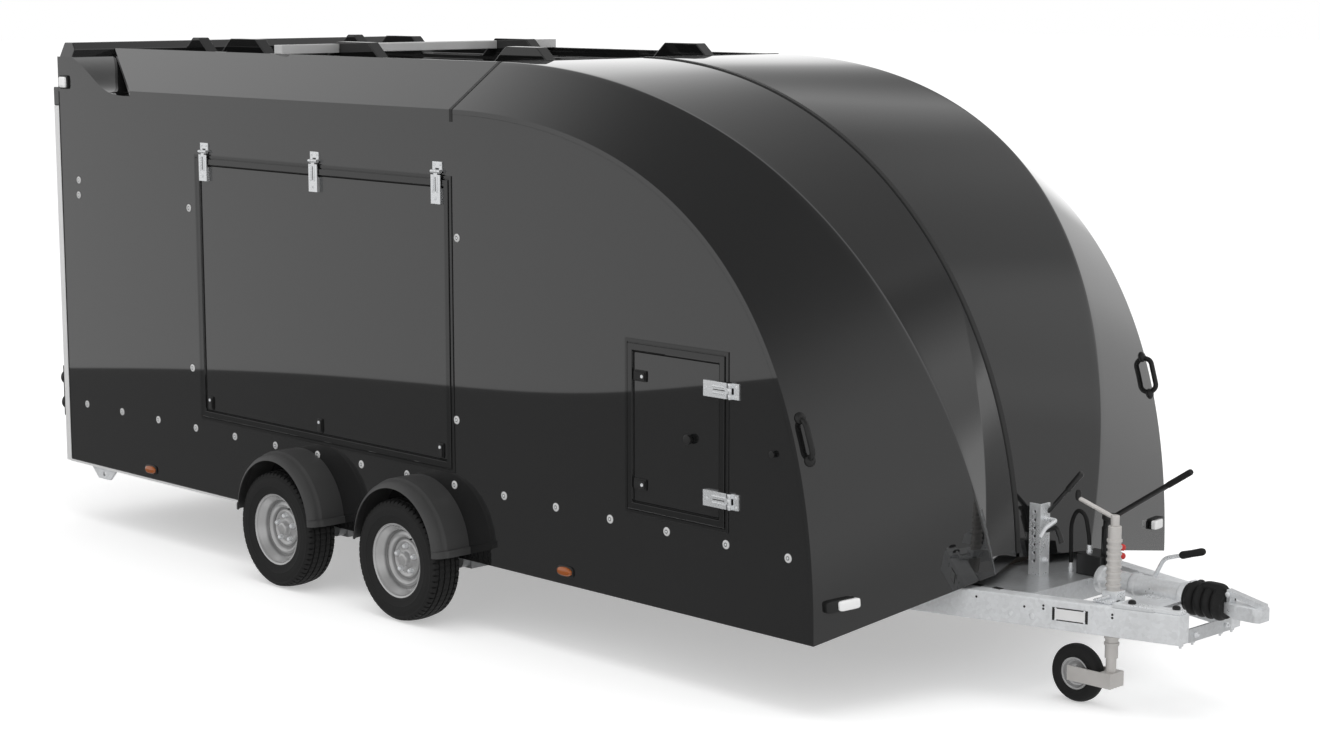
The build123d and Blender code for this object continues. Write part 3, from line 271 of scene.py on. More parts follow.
def piece(name, finish, shells, stands_for=(), body="trailer", sharp=38.0, edge=0.0):
    """One mesh of welded shells, faces outwards, smooth below the sharp angle, riding on its body."""
    starts = np.cumsum([0] + [len(points) for points, faces in shells])
    points = np.concatenate([points for points, faces in shells]) + (axle_mid_x, 0, 0)
    faces = [face for (own, part), start in zip(shells, starts) for face in (part + start).tolist()]
    mesh = bpy.data.meshes.new(name)
    mesh.from_pydata(points.tolist(), [], faces)
    draft = bmesh.new()
    draft.from_mesh(mesh)
    bmesh.ops.remove_doubles(draft, verts=draft.verts, dist=1e-6)
    bmesh.ops.recalc_face_normals(draft, faces=draft.faces)
    draft.to_mesh(mesh)
    draft.free()
    mesh.shade_smooth()
    mesh.set_sharp_from_angle(angle=radians(sharp))
    mesh.materials.append(finish.material)
    made = bpy.data.objects.new(name, mesh)
    bpy.context.scene.collection.objects.link(made)
    if edge:
        round_edges(made, edge, sharp)
    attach(made, body)
    if stands_for:
        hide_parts(*stands_for)


def silver_spray(name, level, roughness, blue=0.0, metal=0.35, painted_shade=None):
    """Silver paint over steel, a little uneven, with painted shade, near black, where a given mask is set."""
    made = Finish(name, Metallic=metal, Coat_Weight=0.25)
    cloud = made.noise(14.0, 4.0)
    colour = made.mix(cloud, grey(level * 0.88, blue), grey(level * 1.1, blue))
    if painted_shade:
        # painted shade: the colour goes near black where the mask is set
        colour = made.mix(painted_shade(made), colour, grey(0.07))
    made.drive(Base_Color=colour, Roughness=roughness + cloud * 0.12)
    made.bump(made.noise(260.0, 2.0), 0.00012)
    return made


def groove_painted_shade(finish):
    """Painted shade in the two grooves of each disc, from the distance to the hub of the nearer axle."""
    along, height = finish.axes("XZ")
    from_axle = abs(along - axle_mid_x) - half_base
    from_height = height - wheel_r
    from_hub = (from_axle * from_axle + from_height * from_height).root()
    inner = 1 - finish.ramp(abs(from_hub - 0.087), 0.003, 0.010)
    outer = 1 - finish.ramp(abs(from_hub - 0.121), 0.002, 0.008)
    return 0.62 * (inner + outer)


def rubber(name, level, roughness):
    """Black rubber, grey where it is rubbed, with a fine pebble."""
    made = Finish(name, Specular_IOR_Level=0.35)
    cloud = made.noise(11.0, 4.0)
    colour = made.mix(cloud, grey(level * 0.75), grey(level * 1.3))
    made.drive(Base_Color=colour, Roughness=roughness + cloud * 0.14)
    made.bump(made.noise(500.0, 2.0), 0.0002)
    return made


# painted shade in the grooves of each wheel disc
wheel_silver = silver_spray("wheel_silver", 0.58, 0.17, metal=0.62, painted_shade=groove_painted_shade)
bright_zinc = zinc_skin("bright_zinc", 0.84, 0.97, 300.0, metal=0.50, roughness=0.16, lumps=0.00005)
tyre_rubber = rubber("tyre_rubber", 0.013, 0.62)
hub_face = 0.010
dust_cap = [(0.0370, 0.000), (0.0370, 0.022), (0.0330, 0.028), (hub_face, 0.030)]
disc = [(hub_face, 0.067), (0.0150, 0.074), (0.0080, 0.086), (0.0250, 0.104), (0.0160, 0.121)]
front_lip = [(0.0320, 0.127), (0.0560, 0.1480), (0.0640, 0.1500), (0.0672, 0.1590), (0.0625, 0.1590)]
well = [(0.0620, 0.1577), (0.0560, 0.1577), (0.0320, 0.1320), (-0.0260, 0.1320), (-0.0560, 0.1577)]
back_lip = [(-0.0625, 0.1577), (-0.0625, 0.1657), (-0.0675, 0.1657), (-0.0675, 0.1540), (-0.0560, 0.1530)]
disc_back = [(-0.0260, 0.1270), (0.0080, 0.1270), (0.0020, 0.1120), (-0.0010, 0.1020)]
drum = [(-0.0645, 0.1020), (-0.0645, 0.0203), (0.0003, 0.0203), (0.0003, 0.0)]
rim_front = soft(dust_cap + disc + front_lip, 0.006, 5)
rim_back = soft(well + back_lip + disc_back + drum, 0.004, 3)
rim_profile = np.concatenate([rim_front, rim_back])
nut_outline = [(-0.004, 0), (-0.004, 0.0125), (0.004, 0.0115), (0.016, 0.0095), (0.021, 0.004), (0.021, 0)]
nut_circle = 0.056
nut_turns = np.arange(5) * 2 * pi / 5 + pi / 2
nut_arms = nut_circle * np.stack([np.cos(nut_turns), 0 * nut_turns, np.sin(nut_turns)], -1)
stem_outline = [(-0.010, 0), (-0.010, 0.0055), (0.012, 0.0045), (0.013, 0.0035), (0.024, 0.0035), (0.024, 0)]
stem_out = 0.034
stem_arm = 0.131 * np.array((cos(0.9), 0, sin(0.9)))
for name, (x, side) in wheels.items():
    out = np.array((0.0, side, 0.0))
    centre = np.array((x, 0.0, wheel_r)) + wheel_y * out
    body = f"wheel_{name}"
    rim = turned(rim_profile, centre, out, 96)
    nuts = lathe(nut_outline, 0.003, centre + hub_face * out + nut_arms, out, 12)
    stem = lathe(stem_outline, 0.001, [centre + stem_out * out + stem_arm], out, 12)
    piece(f"wheel_rim_{name}", wheel_silver, [rim], [f"rim_{name}"], body, 50.0)
    piece(f"wheel_nuts_{name}", bright_zinc, nuts, body=body)
    piece(f"tyre_valve_{name}", tyre_rubber, stem, body=body)


# Road tyres: moulded rubber, bulged walls with two raised rings, and a tread of three middle ribs between
# zigzag grooves and slotted shoulders. One grid per tyre: rows across the section, columns round it.
tyre_half = 0.0775
tread_half = 0.0636
tread_lines = (-tread_half, -0.054, -0.030, 0.0, 0.030, 0.054, tread_half)
crown_drop = 0.007
groove_depth = 0.007
groove_mids = np.array((-0.043, -0.016, 0.016, 0.043))
groove_half = 0.0030
groove_foot = groove_half + 0.0006
groove_zigzag = 0.0035
rib_half = 0.010
shoulder_half = 0.047
shoulder_low_r = 0.240
shoulder_slot = 0.004
sipe_depth = 0.003
pitches = 60
pitch_cuts = np.array((0.0, 0.03, 0.25, 0.28, 0.52, 0.55, 0.72, 0.75))
wall_top = [(tread_half + 0.004, 0.2495), (0.0745, 0.2370), (0.0763, 0.2350), (0.0753, 0.2330)]
wall_bulge = [(tyre_half, 0.2150), (0.0765, 0.1960), (0.0772, 0.1940), (0.0755, 0.1920)]
wall_bead = [(0.0710, 0.1740), (0.0690, 0.1600), (0.0620, 0.1580)]
wall = soft(wall_top + wall_bulge + wall_bead, 0.003, 3)


def tyre_grid():
    """Points (y, radius, turn) of a tyre: a crowned tread less its grooves and slots, then both walls."""
    groove_edges = groove_mids[:, None] + np.array((-groove_foot, -groove_half, groove_half, groove_foot))
    tread_y = np.sort(np.concatenate([groove_edges.ravel(), tread_lines]))
    tread_r = wheel_r - crown_drop * (tread_y / tread_half) ** 2
    y = np.concatenate([-wall[::-1, 0], tread_y, wall[:, 0]])
    r = np.concatenate([wall[::-1, 1], tread_r, wall[:, 1]])
    steps = (np.arange(pitches)[:, None] + pitch_cuts).ravel()
    share = steps % 1.0
    off_middle = np.abs(y)
    in_groove = np.min(np.abs(y[:, None] - groove_mids), axis=1) < (groove_half + groove_foot) / 2
    in_tread = off_middle <= tread_half + 1e-9
    shoulder = (off_middle > shoulder_half) & (r > shoulder_low_r)
    slot_depth = shoulder * np.where(in_tread, groove_depth, shoulder_slot)
    slots = slot_depth[:, None] * ((share > 0.02) & (share < 0.26))
    sipes = sipe_depth * (in_tread & ~shoulder)[:, None] * ((share > 0.51) & (share < 0.56))
    grooves = groove_depth * (in_groove & in_tread)[:, None]
    depth = np.maximum(np.maximum(slots, sipes), grooves)
    bends = (off_middle > rib_half) & (off_middle < shoulder_half)
    zigzag = groove_zigzag * np.abs(2 * share - 1) * bends[:, None]
    return y[:, None] + zigzag, r[:, None] - depth, np.broadcast_to(2 * pi * steps / pitches, depth.shape)


tyre_y, tyre_r, tyre_turn = tyre_grid()
for name, (x, side) in wheels.items():
    round_x, round_z = tyre_r * np.cos(tyre_turn), tyre_r * np.sin(tyre_turn)
    points = np.stack([x + round_x, side * (wheel_y + tyre_y), wheel_r + round_z], -1)
    tyre = skin(points, True, True)
    piece(f"road_tyre_{name}", tyre_rubber, [tyre], [f"tyre_{name}"], f"wheel_{name}", 32.0)


# Mudguards: one per wheel, vacuum formed in matt black plastic and screwed to the body: a half-round top, a
# sloping outer band behind a small step, and a thick collar at each foot.
def moulded_plastic(name, level, roughness, pebbles):
    """Grey or black plastic, a little clouded, with a grain of so many pebbles to a metre."""
    made = Finish(name)
    cloud = made.noise(5.0, 4.0)
    colour = made.mix(cloud, grey(level * 0.8), grey(level * 1.25))
    made.drive(Base_Color=colour, Roughness=roughness + cloud * 0.12)
    made.bump(made.cells(pebbles, "Distance"), 0.00025)
    return made


def both_sides(shells):
    """Shells of the right-hand side with their mirror images on the left."""
    return shells + [(points * (1, -1, 1), faces) for points, faces in shells]


guard_plastic = moulded_plastic("guard_plastic", 0.050, 0.34, 700.0)
guard_mid_z = 0.314
guard_top = [(1.100, 0.2920), (1.212, 0.2920), (1.220, 0.2900), (1.226, 0.2855), (1.236, 0.2840)]
guard_band = [(1.252, 0.2790), (1.266, 0.2700), (1.274, 0.2590), (1.275, 0.2560), (1.269, 0.2560)]
guard_under = [(1.262, 0.2660), (1.248, 0.2745), (1.222, 0.2800), (1.212, 0.2860), (1.100, 0.2860)]
guard_section = np.array(guard_top + guard_band + guard_under)
collar_rise = 0.008
collar_points = 8
collar_turns = np.array((0, 0.10, 0.102))
guard_turn = np.concatenate([collar_turns, np.linspace(0.13, pi - 0.13, 45), pi - collar_turns[::-1]])
in_collar = np.abs(guard_turn - pi / 2) > pi / 2 - 0.101
raised = in_collar[:, None] * (np.arange(len(guard_section)) < collar_points)
guard_reach = guard_section[:, 1] + collar_rise * raised
guard_shells = []
for axle_x in axle_xs.values():
    x = axle_x - axle_mid_x + guard_reach * np.cos(guard_turn)[:, None]
    z = guard_mid_z + guard_reach * np.sin(guard_turn)[:, None]
    guard_shells += capped(np.stack([x, np.broadcast_to(-guard_section[:, 0], x.shape), z], -1))
piece("moulded_mudguards", guard_plastic, both_sides(guard_shells), ["mudguards"], sharp=30.0)


# Shell: sandwich side panels, roof cheeks and a recessed roof tray in dark grey two-pack, sprayed gloss. The
# gun leaves a faint orange peel, and the clear coat on top carries the reflections.
def coach_gloss(name, level, coat):
    """Dark two-pack paint under clear coat."""
    made = Finish(name, Roughness=0.02, Coat_Weight=coat, Coat_Roughness=0.003)
    tone = made.noise(1.1, 3.0) * 0.6 + made.noise(900.0, 1.0) * 0.4
    made.drive(Base_Color=made.mix(tone, grey(level * 0.85, 0.01), grey(level * 1.2, 0.01)))
    made.bump(made.noise(90.0, 1.0), 0.000001)
    return made


coach_paint = coach_gloss("coach_paint", 0.0105, 1.0)
half_width = 1.100
dress(coach_paint, "side_panel_right", "side_panel_left", "roof_cheek_right", "roof_cheek_left")
dress(coach_paint, "roof_panel", edge=0.003)


# Panel screws: bright pan heads, each with a black ring of painted shade in the well of a wide pale cap, one
# row along the floor and a few at the door frames and rear corner, the same on both sides.
trim_plastic = moulded_plastic("trim_plastic", 0.011, 0.30, 900.0)
cap_plastic = moulded_plastic("cap_pale", 0.60, 0.35, 500.0)
cap_rim = [(0, 0), (0, 0.0175), (0.002, 0.0175), (0.0045, 0.0125)]
cap_well = [(0.0045, 0.0085), (0.0030, 0.0075), (0.0030, 0)]
shade_ring_outline = [(0.0020, 0), (0.0020, 0.0092), (0.0036, 0.0092), (0.0036, 0)]
head_outline = [(0.0025, 0), (0.0025, 0.0056), (0.0050, 0.0044), (0.0050, 0)]
screw_pitch = 0.3125
screw_spots = [(-2.187 + screw_pitch * i, 0.5907) for i in range(16)]
screw_spots += [(-1.256, 1.619), (-1.262, 0.873), (0.660, 1.620), (0.645, 0.866)]
screw_spots += [(-2.192, 1.695), (-2.197, 1.622)]
to_right = (0, -1, 0)


def on_panel(outline, radius, spots, count, steps=4, proud=0.0):
    """Turned parts on the right-hand side, one at each (x, z), facing out."""
    return lathe(outline, radius, [(x, -half_width - proud, z) for x, z in spots], to_right, count, steps)


caps = on_panel(cap_rim + cap_well, 0.001, screw_spots, 20, 3)
# painted shade: a black ring in the well of each cap, round the screw head
rings = on_panel(shade_ring_outline, 0.0004, screw_spots, 16, 3)
heads = on_panel(head_outline, 0.0006, screw_spots, 12, 3)
piece("screw_caps", cap_plastic, both_sides(caps))
piece("screw_shade_rings", trim_plastic, both_sides(rings))
piece("screw_heads", bright_zinc, both_sides(heads))


# Nose: two lofted glass-fibre mouldings that meet in a valley, each a curved crown and a bevel drawn between
# three ribs, in the same dark gloss, with a black strip bonded over the seam.
joint_x = 0.630
shell_wall = 0.020
skirt_z = 0.285
lift_z = 0.447
lift_y = 0.300
side_rib = (2.140, 2.627, 0.285, 0.6645)
bevel_rib = (2.325, 2.820, 0.350, 0.640)
valley_rib = (2.325, 2.700, 0.350, 0.585)
bevel_foot_y = 0.171
bevel_lean = 0.28645
strip_half = 0.009
crease = 0.012


def rib(shape, inset, t):
    """Cubic from level at the roof joint to upright at the tip: x and z at each t, set in by the inset."""
    top, tip, low, fullness = shape
    run = tip - inset - joint_x
    drop = top - inset - low
    first, second, third = 3 * (1 - t) ** 2 * t, 3 * (1 - t) * t**2, t**3
    x = joint_x + run * (fullness * first + second + third)
    z = low + drop * ((1 - t) ** 3 + first + fullness * second)
    return x, z


def nose_surface(t, u, inset):
    """Right-hand moulding: u runs 0 to 1 from the side rib to the bevel rib and on to the valley at 2, with
    the crease at 1 eased by a parabola."""
    eased = np.abs(u - 1) < crease
    to_side = np.where(eased, (1 - u + crease) ** 2 / (4 * crease), np.maximum(1 - u, 0))
    to_valley = np.where(eased, (u - 1 + crease) ** 2 / (4 * crease), np.maximum(u - 1, 0))
    to_bevel = 1 - to_side - to_valley
    side_x, side_z = rib(side_rib, inset, t)
    bevel_x, bevel_z = rib(bevel_rib, inset, t)
    valley_x, valley_z = rib(valley_rib, inset, t)
    x = to_side * side_x + to_bevel * bevel_x + to_valley * valley_x
    z = to_side * side_z + to_bevel * bevel_z + to_valley * valley_z
    y = -to_side * half_width - to_bevel * (bevel_foot_y + bevel_lean * bevel_z) - to_valley * strip_half
    return np.stack([x, y, z], -1)


def trim_height(y):
    """Lower edge of the nose: level in the middle, then falling straight to the skirt at the sides."""
    return lift_z + (skirt_z - lift_z) * np.clip((np.abs(y) - lift_y) / (half_width - lift_y), 0, 1)


def nose_grid(us, inset, rows=140, halvings=30):
    """Rows of t from the roof joint to the trimmed lower edge, found for each u by halving."""
    low = np.zeros_like(us)
    high = np.ones_like(us)
    for halving in range(halvings):
        middle = (low + high) / 2
        points = nose_surface(middle, us, inset)
        above = points[:, 2] > trim_height(points[:, 1])
        low = np.where(above, middle, low)
        high = np.where(above, high, middle)
    return nose_surface(np.linspace(0, 1, rows)[:, None] * high, us[None, :], inset)


def mirrored(half):
    """Half an outline with its mirror image, which comes first."""
    return [(-across, along) for across, along in reversed(half)] + half


bevel_us = np.linspace(0, 1 - crease, 16)
crease_us = np.linspace(1 - crease, 1 + crease, 7)[1:-1]
crown_us = np.linspace(1 + crease, 2, 20)
nose_us = np.concatenate([bevel_us, crease_us, crown_us])
nose_faces = [nose_grid(nose_us, inset) for inset in (0.0, shell_wall)]
for side in ("right", "left"):
    outer, inner = [grid * (1, -sides[side], 1) for grid in nose_faces]
    around = np.concatenate([outer, inner[:, ::-1]], axis=1)
    ends = [skin(np.stack([outer[row], inner[row]])) for row in (0, -1)]
    shells = [skin(around, False, True)] + ends
    piece(f"nose_shell_{side}", coach_paint, shells, [f"nose_moulding_{side}"], sharp=25.0)
strip_side = [(0.011, -0.0045), (0.015, 0.0), (0.0085, 0.0), (0.0085, 0.0200)]
strip_y, strip_depth = np.array(mirrored(strip_side)).T
strip_t = np.linspace(0, 1, 120)[:, None]
strip_end = np.max(np.where(rib(valley_rib, 0.0, strip_t)[1] > lift_z, strip_t, 0))
strip_x, strip_z = rib(valley_rib, strip_depth, strip_t * strip_end)
strip = np.stack([strip_x, np.broadcast_to(strip_y, strip_x.shape), strip_z], -1)
piece("nose_strip", trim_plastic, capped(strip), ["nose_seam_strip"], sharp=25.0)


# Door frames: black anodised section with an outer flange, a groove for the seal and a raised inner step,
# mitred at the corners and bonded round each opening in the right-hand panel.
opening_spans = [(-1.200, 0.630, 0.640, 1.870), (1.650, 2.200, 0.635, 1.312)]
frame_flange = [(0.0000, 0.0000), (0.0000, 0.0030), (0.0012, 0.0042), (0.0125, 0.0042)]
frame_groove = [(0.0135, 0.0012), (0.0165, 0.0012)]
frame_step = [(0.0175, 0.0068), (0.0190, 0.0080), (0.0415, 0.0080), (0.0430, 0.0068), (0.0450, 0.0000)]


def frame_ring(span, section):
    """Mitred frame: each (inset, proud) of the section runs once round the rectangle of (x, x, z, z)."""
    low_x, high_x, low_z, high_z = span
    inset, proud = np.asarray(section, float).T[..., None]
    x = np.concatenate([low_x + inset, high_x - inset, high_x - inset, low_x + inset], axis=1)
    z = np.concatenate([low_z + inset, low_z + inset, high_z - inset, high_z - inset], axis=1)
    return skin(np.stack([x, np.broadcast_to(-half_width - proud, x.shape), z], -1), True, True)


frame_gloss = coach_gloss("frame_gloss", 0.009, 0.45)
frames = [frame_ring(span, frame_flange + frame_groove + frame_step) for span in opening_spans]
piece("opening_frames", frame_gloss, frames, ["door_frames"], sharp=20.0)


# Door leaves: flat sandwich boards in the body's gloss with broken edges. A rubber seal shows in the gap
# round each leaf, and a lip of the same rubber closes that gap from behind.
dress(coach_paint, "hatch_panel", "locker_panel", edge=0.0015)
seal_section = [(0.0452, 0.0010), (0.0478, 0.0010), (0.0490, -0.0020), (0.0478, -0.016), (0.0452, -0.016)]
lip_section = [(0.030, -0.0205), (0.066, -0.0205), (0.066, -0.0245), (0.030, -0.0245)]
seals = [frame_ring(span, section) for span in opening_spans for section in (seal_section, lip_section)]
piece("door_seals", tyre_rubber, seals)


# Strap hinges: zinc plated, a plate held by two pan screws above the knuckle, and a strap with a black bead
# of painted shade for the groove between two pressed ribs, held by one screw on the leaf. The locker's pair
# lies on its side.
plate_face_y = -half_width - 0.005
strap_face_y = -half_width - 0.016
locker_pin_x = 2.215
hatch_hinges = [(x, 1.885) for x in (-1.115, -0.285, 0.545)]
locker_hinges = [(locker_pin_x, z) for z in (0.757, 1.170)]
pan_side = [(0, 0), (0, 0.0058), (0.0018, 0.0050), (0.0030, 0.0030)]
pan_well = [(0.0030, 0.0014), (0.0017, 0.0012), (0.0017, 0)]


def bead(start, end, radius, count=12):
    """Round-ended bar from one point to another."""
    start, end = np.asarray(start, float), np.asarray(end, float)
    length = np.linalg.norm(end - start)
    outline = soft([(0, 0), (0, radius), (length, radius), (length, 0)], radius * 0.9)
    return turned(outline, start, end - start, count)


def on_hinge(pin, hangs, across, along, y):
    """Point beside a hinge pin: across and along the strap, which hangs down or lies to the rear."""
    x, z = pin
    return (x + across, y, z + along) if hangs else (x + along, y, z - across)


def pan_screws(spots):
    """Pan head screws, facing out of the right-hand side."""
    return lathe(pan_side + pan_well, 0.0006, spots, to_right, 14, 3)


def strap_bead(pin, hangs, across, ends, radius):
    """Bead along the face of a strap, between two distances from its pin."""
    return bead(*[on_hinge(pin, hangs, across, along, strap_face_y) for along in ends], radius)


hinge_zinc = zinc_skin("hinge_zinc", 0.92, 1.0, 300.0, metal=0.80, roughness=0.10, lumps=0.00002)
dress(hinge_zinc, "door_hinge_plates", "hatch_hinge_straps", "locker_hinge_straps", edge=0.0008)
plate_screws = []
for body, pins, hangs in (("side_hatch", hatch_hinges, True), ("locker_door", locker_hinges, False)):
    rib_lines = [(pin, hangs, across) for pin in pins for across in (-0.012, 0.012)]
    screw_lines = [(pin, hangs, across) for pin in pins for across in (-0.018, 0.018)]
    ribs = [strap_bead(*line, (-0.018, -0.086), 0.004) for line in rib_lines]
    ribs += pan_screws([on_hinge(pin, hangs, 0.0, -0.112, strap_face_y) for pin in pins])
    # painted shade: a thin black bead down the middle of each strap stands for its groove
    grooves = [strap_bead(pin, hangs, 0.0, (-0.022, -0.082), 0.0016) for pin in pins]
    plate_screws += pan_screws([on_hinge(*line, 0.028, plate_face_y) for line in screw_lines])
    piece(f"{body}_strap_ribs", hinge_zinc, ribs, body=body)
    piece(f"{body}_strap_groove_shade", trim_plastic, grooves, body=body)
piece("hinge_plate_screws", bright_zinc, plate_screws)


# Latches: black moulded plates screwed to the leaves, each with a paddle and a bright lock barrel, and a
# black knob on the locker door that meets a rubber stop when the door is folded back.
def block(ring, rise):
    """A ring of points carried along a rise, closed by a wall and two flat faces."""
    ring = np.asarray(ring, float)
    return capped(np.stack([ring, ring + rise]))


def bar(low, high):
    """Rectangular block between two corners."""
    (low_x, low_y, low_z), (high_x, high_y, high_z) = low, high
    ring = [(low_x, low_y, low_z), (high_x, low_y, low_z), (high_x, high_y, low_z), (low_x, high_y, low_z)]
    return block(ring, (0, 0, high_z - low_z))


def latch(x, z, half_x, half_z):
    """Plate and raised paddle on the leaf, centred on x and z."""
    shells = []
    for inset_x, inset_z, foot, face in ((0.0, 0.0, 0.0, 0.006), (0.004, 0.006, 0.004, 0.011)):
        reach_x, reach_z = half_x - inset_x, half_z - inset_z
        low = (x - reach_x, -half_width - face, z - reach_z)
        shells += bar(low, (x + reach_x, -half_width - foot, z + reach_z))
    return shells


barrel_outline = [(0, 0), (0, 0.0072), (0.0030, 0.0066), (0.0030, 0.0046), (0.0018, 0.0040), (0.0018, 0)]
knob_neck = [(0, 0), (0, 0.012), (0.010, 0.0115)]
knob_head = [(0.012, 0.0195), (0.024, 0.0195), (0.026, 0.015), (0.026, 0)]
locker_knob = (2.003, 0.9635)
hatch_latches = [(x, 0.725) for x, z in hatch_hinges]
locker_latches = [(1.735, z) for z in (0.754, 1.173)]
hatch_plates = [shell for spot in hatch_latches for shell in latch(*spot, 0.016, 0.031)]
locker_plates = [shell for spot in locker_latches for shell in latch(*spot, 0.033, 0.021)]
locker_plates += on_panel(knob_neck + knob_head, 0.002, [locker_knob], 24)
catches = [
    ("hatch_catches", hatch_plates, "hatch_latches", "side_hatch"),
    ("locker_catches", locker_plates, "locker_fittings", "locker_door"),
]
for name, plates, node, body in catches:
    piece(name, trim_plastic, plates, [node], body, edge=0.0012)
barrel_spots = {
    "side_hatch": [(x, z + 0.015) for x, z in hatch_latches],
    "locker_door": [(x + 0.016, z) for x, z in locker_latches],
}
for body, spots in barrel_spots.items():
    barrels = on_panel(barrel_outline, 0.0006, spots, 16, 3, proud=0.0105)
    piece(f"{body}_lock_barrels", bright_zinc, barrels, body=body)


# Rear end: bare alloy corner posts and sill strips with a line of black sealer beside each post, painted
# header and spoiler, a painted ramp leaf gritted on its driven side, and the black bars that hold it shut.
def plain_alloy(name, dull, bright):
    """Mill finish with fine lines drawn along the upright."""
    made = Finish(name, Metallic=0.45)
    stretch = made.node("ShaderNodeMapping", {}, {"Vector": made.place, "Scale": (400.0, 400.0, 6.0)})
    lines = made.node("ShaderNodeTexNoise", {}, {"Vector": stretch, "Scale": 1.0, "Detail": 2.0})
    colour = made.mix(made.noise(6.0, 4.0), grey(dull), grey(bright))
    made.drive(Base_Color=colour, Roughness=0.30 + lines * 0.2)
    made.bump(lines, 0.0001)
    return made


def gloss_black(name, level, roughness):
    """Black enamel on steel, slightly uneven."""
    made = Finish(name, Coat_Weight=0.5, Coat_Roughness=0.1)
    cloud = made.noise(25.0, 3.0)
    colour = made.mix(cloud, grey(level * 0.8), grey(level * 1.3))
    made.drive(Base_Color=colour, Roughness=roughness + cloud * 0.15)
    made.bump(made.noise(180.0, 2.0), 0.0001)
    return made


alloy = plain_alloy("plain_alloy", 0.82, 0.96)
black_steel = gloss_black("black_steel", 0.012, 0.3)
ramp_paint = coach_gloss("ramp_paint", 0.0105, 1.0)
ramp_inner_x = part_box("ramp_door")[1].x
(through_leaf,) = ramp_paint.axes("X")
grit = ramp_paint.ramp(through_leaf, ramp_inner_x - 0.003, ramp_inner_x - 0.001)
ramp_paint.drive(Roughness=0.02 + 0.6 * grit, Coat_Weight=1 - grit)
dress(ramp_paint, "ramp_door", edge=0.004)
dress(coach_paint, "rear_header", "rear_spoiler", edge=0.004)
dress(alloy, "rear_posts", edge=0.002)
dress(alloy, "sill_strips")
dress(black_steel, "ramp_latches", edge=0.002)
post_edge_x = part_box("rear_posts")[1].x - axle_mid_x
sealer = bar((post_edge_x, -half_width - 0.0012, 0.300), (post_edge_x + 0.007, -half_width, 2.120))
piece("post_sealer", trim_plastic, both_sides(sealer))


# Tail lamps: two domed red lenses in black bezels, moulded with ribs inside and screwed to a black plate at
# the foot of each post.
def lens_plastic(name, colour, roughness, ribbed=0.55):
    """Moulded lens: a clear coloured skin over ribs that show as bands of light and shade."""
    made = Finish(name, Roughness=roughness, Coat_Weight=1.0, Coat_Roughness=0.02)
    ribs = made.node("ShaderNodeTexWave", {"bands_direction": "Z"}, {"Vector": made.place, "Scale": 90.0})
    shade = made.node("ShaderNodeSeparateColor", {}, {"Color": ribs})
    dark = tuple(ribbed * part for part in colour)
    made.drive(Base_Color=made.mix(shade, dark + (1.0,), colour + (1.0,)))
    return made


lens_red = lens_plastic("lens_red", (0.22, 0.008, 0.008), 0.12)
to_rear = (-1, 0, 0)
lamp_x, lamp_y = -2.403, -1.065
lamp_spots = [(lamp_x, lamp_y, z) for z in (0.5725, 0.6975)]
dome_outline = [(0, 0), (0, 0.0315), (0.018, 0.0315), (0.030, 0.024), (0.0365, 0.010), (0.0370, 0)]
bezel_outline = [(0, 0.031), (0, 0.0365), (0.020, 0.0365), (0.025, 0.034), (0.025, 0.031)]
bezel_profile = soft(bezel_outline, 0.001, 3, True)
domes = lathe(dome_outline, 0.008, lamp_spots, to_rear, 40, 6)
bezels = [turned(bezel_profile, spot, to_rear, 40, True) for spot in lamp_spots]
piece("tail_lamp_domes", lens_red, both_sides(domes), ["tail_lamp_lenses"])
piece("tail_lamp_bezels", trim_plastic, both_sides(bezels))
dress(trim_plastic, "tail_lamp_plates", edge=0.002)


# Marker lamps: cushion lenses on black bases, amber along the sides, clear at the upper rear corners and low
# on the nose, where they follow the bevel. A pad's size is its length, width, height, squareness and foot.
side_base = (0.096, 0.046, 0.008, 0.6, 0.005)
side_lens = (0.084, 0.036, 0.019, 0.8, 0.009)
corner_base = (0.076, 0.066, 0.010, 0.3, 0.008)
corner_lens = (0.056, 0.052, 0.022, 0.35, 0.016)
nose_base = (0.124, 0.046, 0.026, 0.3, 0.020)
nose_lens = (0.092, 0.038, 0.020, 0.35, 0.015)
forward = (1, 0, 0)


def cushion(centre, out, along, size):
    """Domed pad: a superellipse of a length and a width, upright to its foot, that closes at its height."""
    length, width, height, square, foot = size
    centre, out, along = [np.asarray(given, float) for given in (centre, out, along)]
    across = np.cross(out, along)
    turn = np.linspace(0, 2 * pi, 48, endpoint=False)[:, None]
    shares = [np.sign(wave) * np.abs(wave) ** square for wave in (np.cos(turn), np.sin(turn))]
    ring = shares[0] * along * length / 2 + shares[1] * across * width / 2
    rise = np.linspace(0, pi / 2, 8)[:, None, None]
    dome = centre + np.cos(rise) ** 0.6 * ring + (foot + (height - foot) * np.sin(rise)) * out
    flat = centre + ring
    return [skin(np.concatenate([flat[None], dome]), False, True), lid(flat)]


def nose_seat(t, u, step=0.001):
    """Point, outward direction and downward direction on the right-hand bevel, from points a step away."""
    near = ((t, u), (t + step, u), (t, u + step))
    spot, below, inside = [nose_surface(np.array(a), np.array(b), 0.0) for a, b in near]
    out = np.cross(below - spot, inside - spot)
    down = below - spot
    return spot, out / np.linalg.norm(out), down / np.linalg.norm(down)


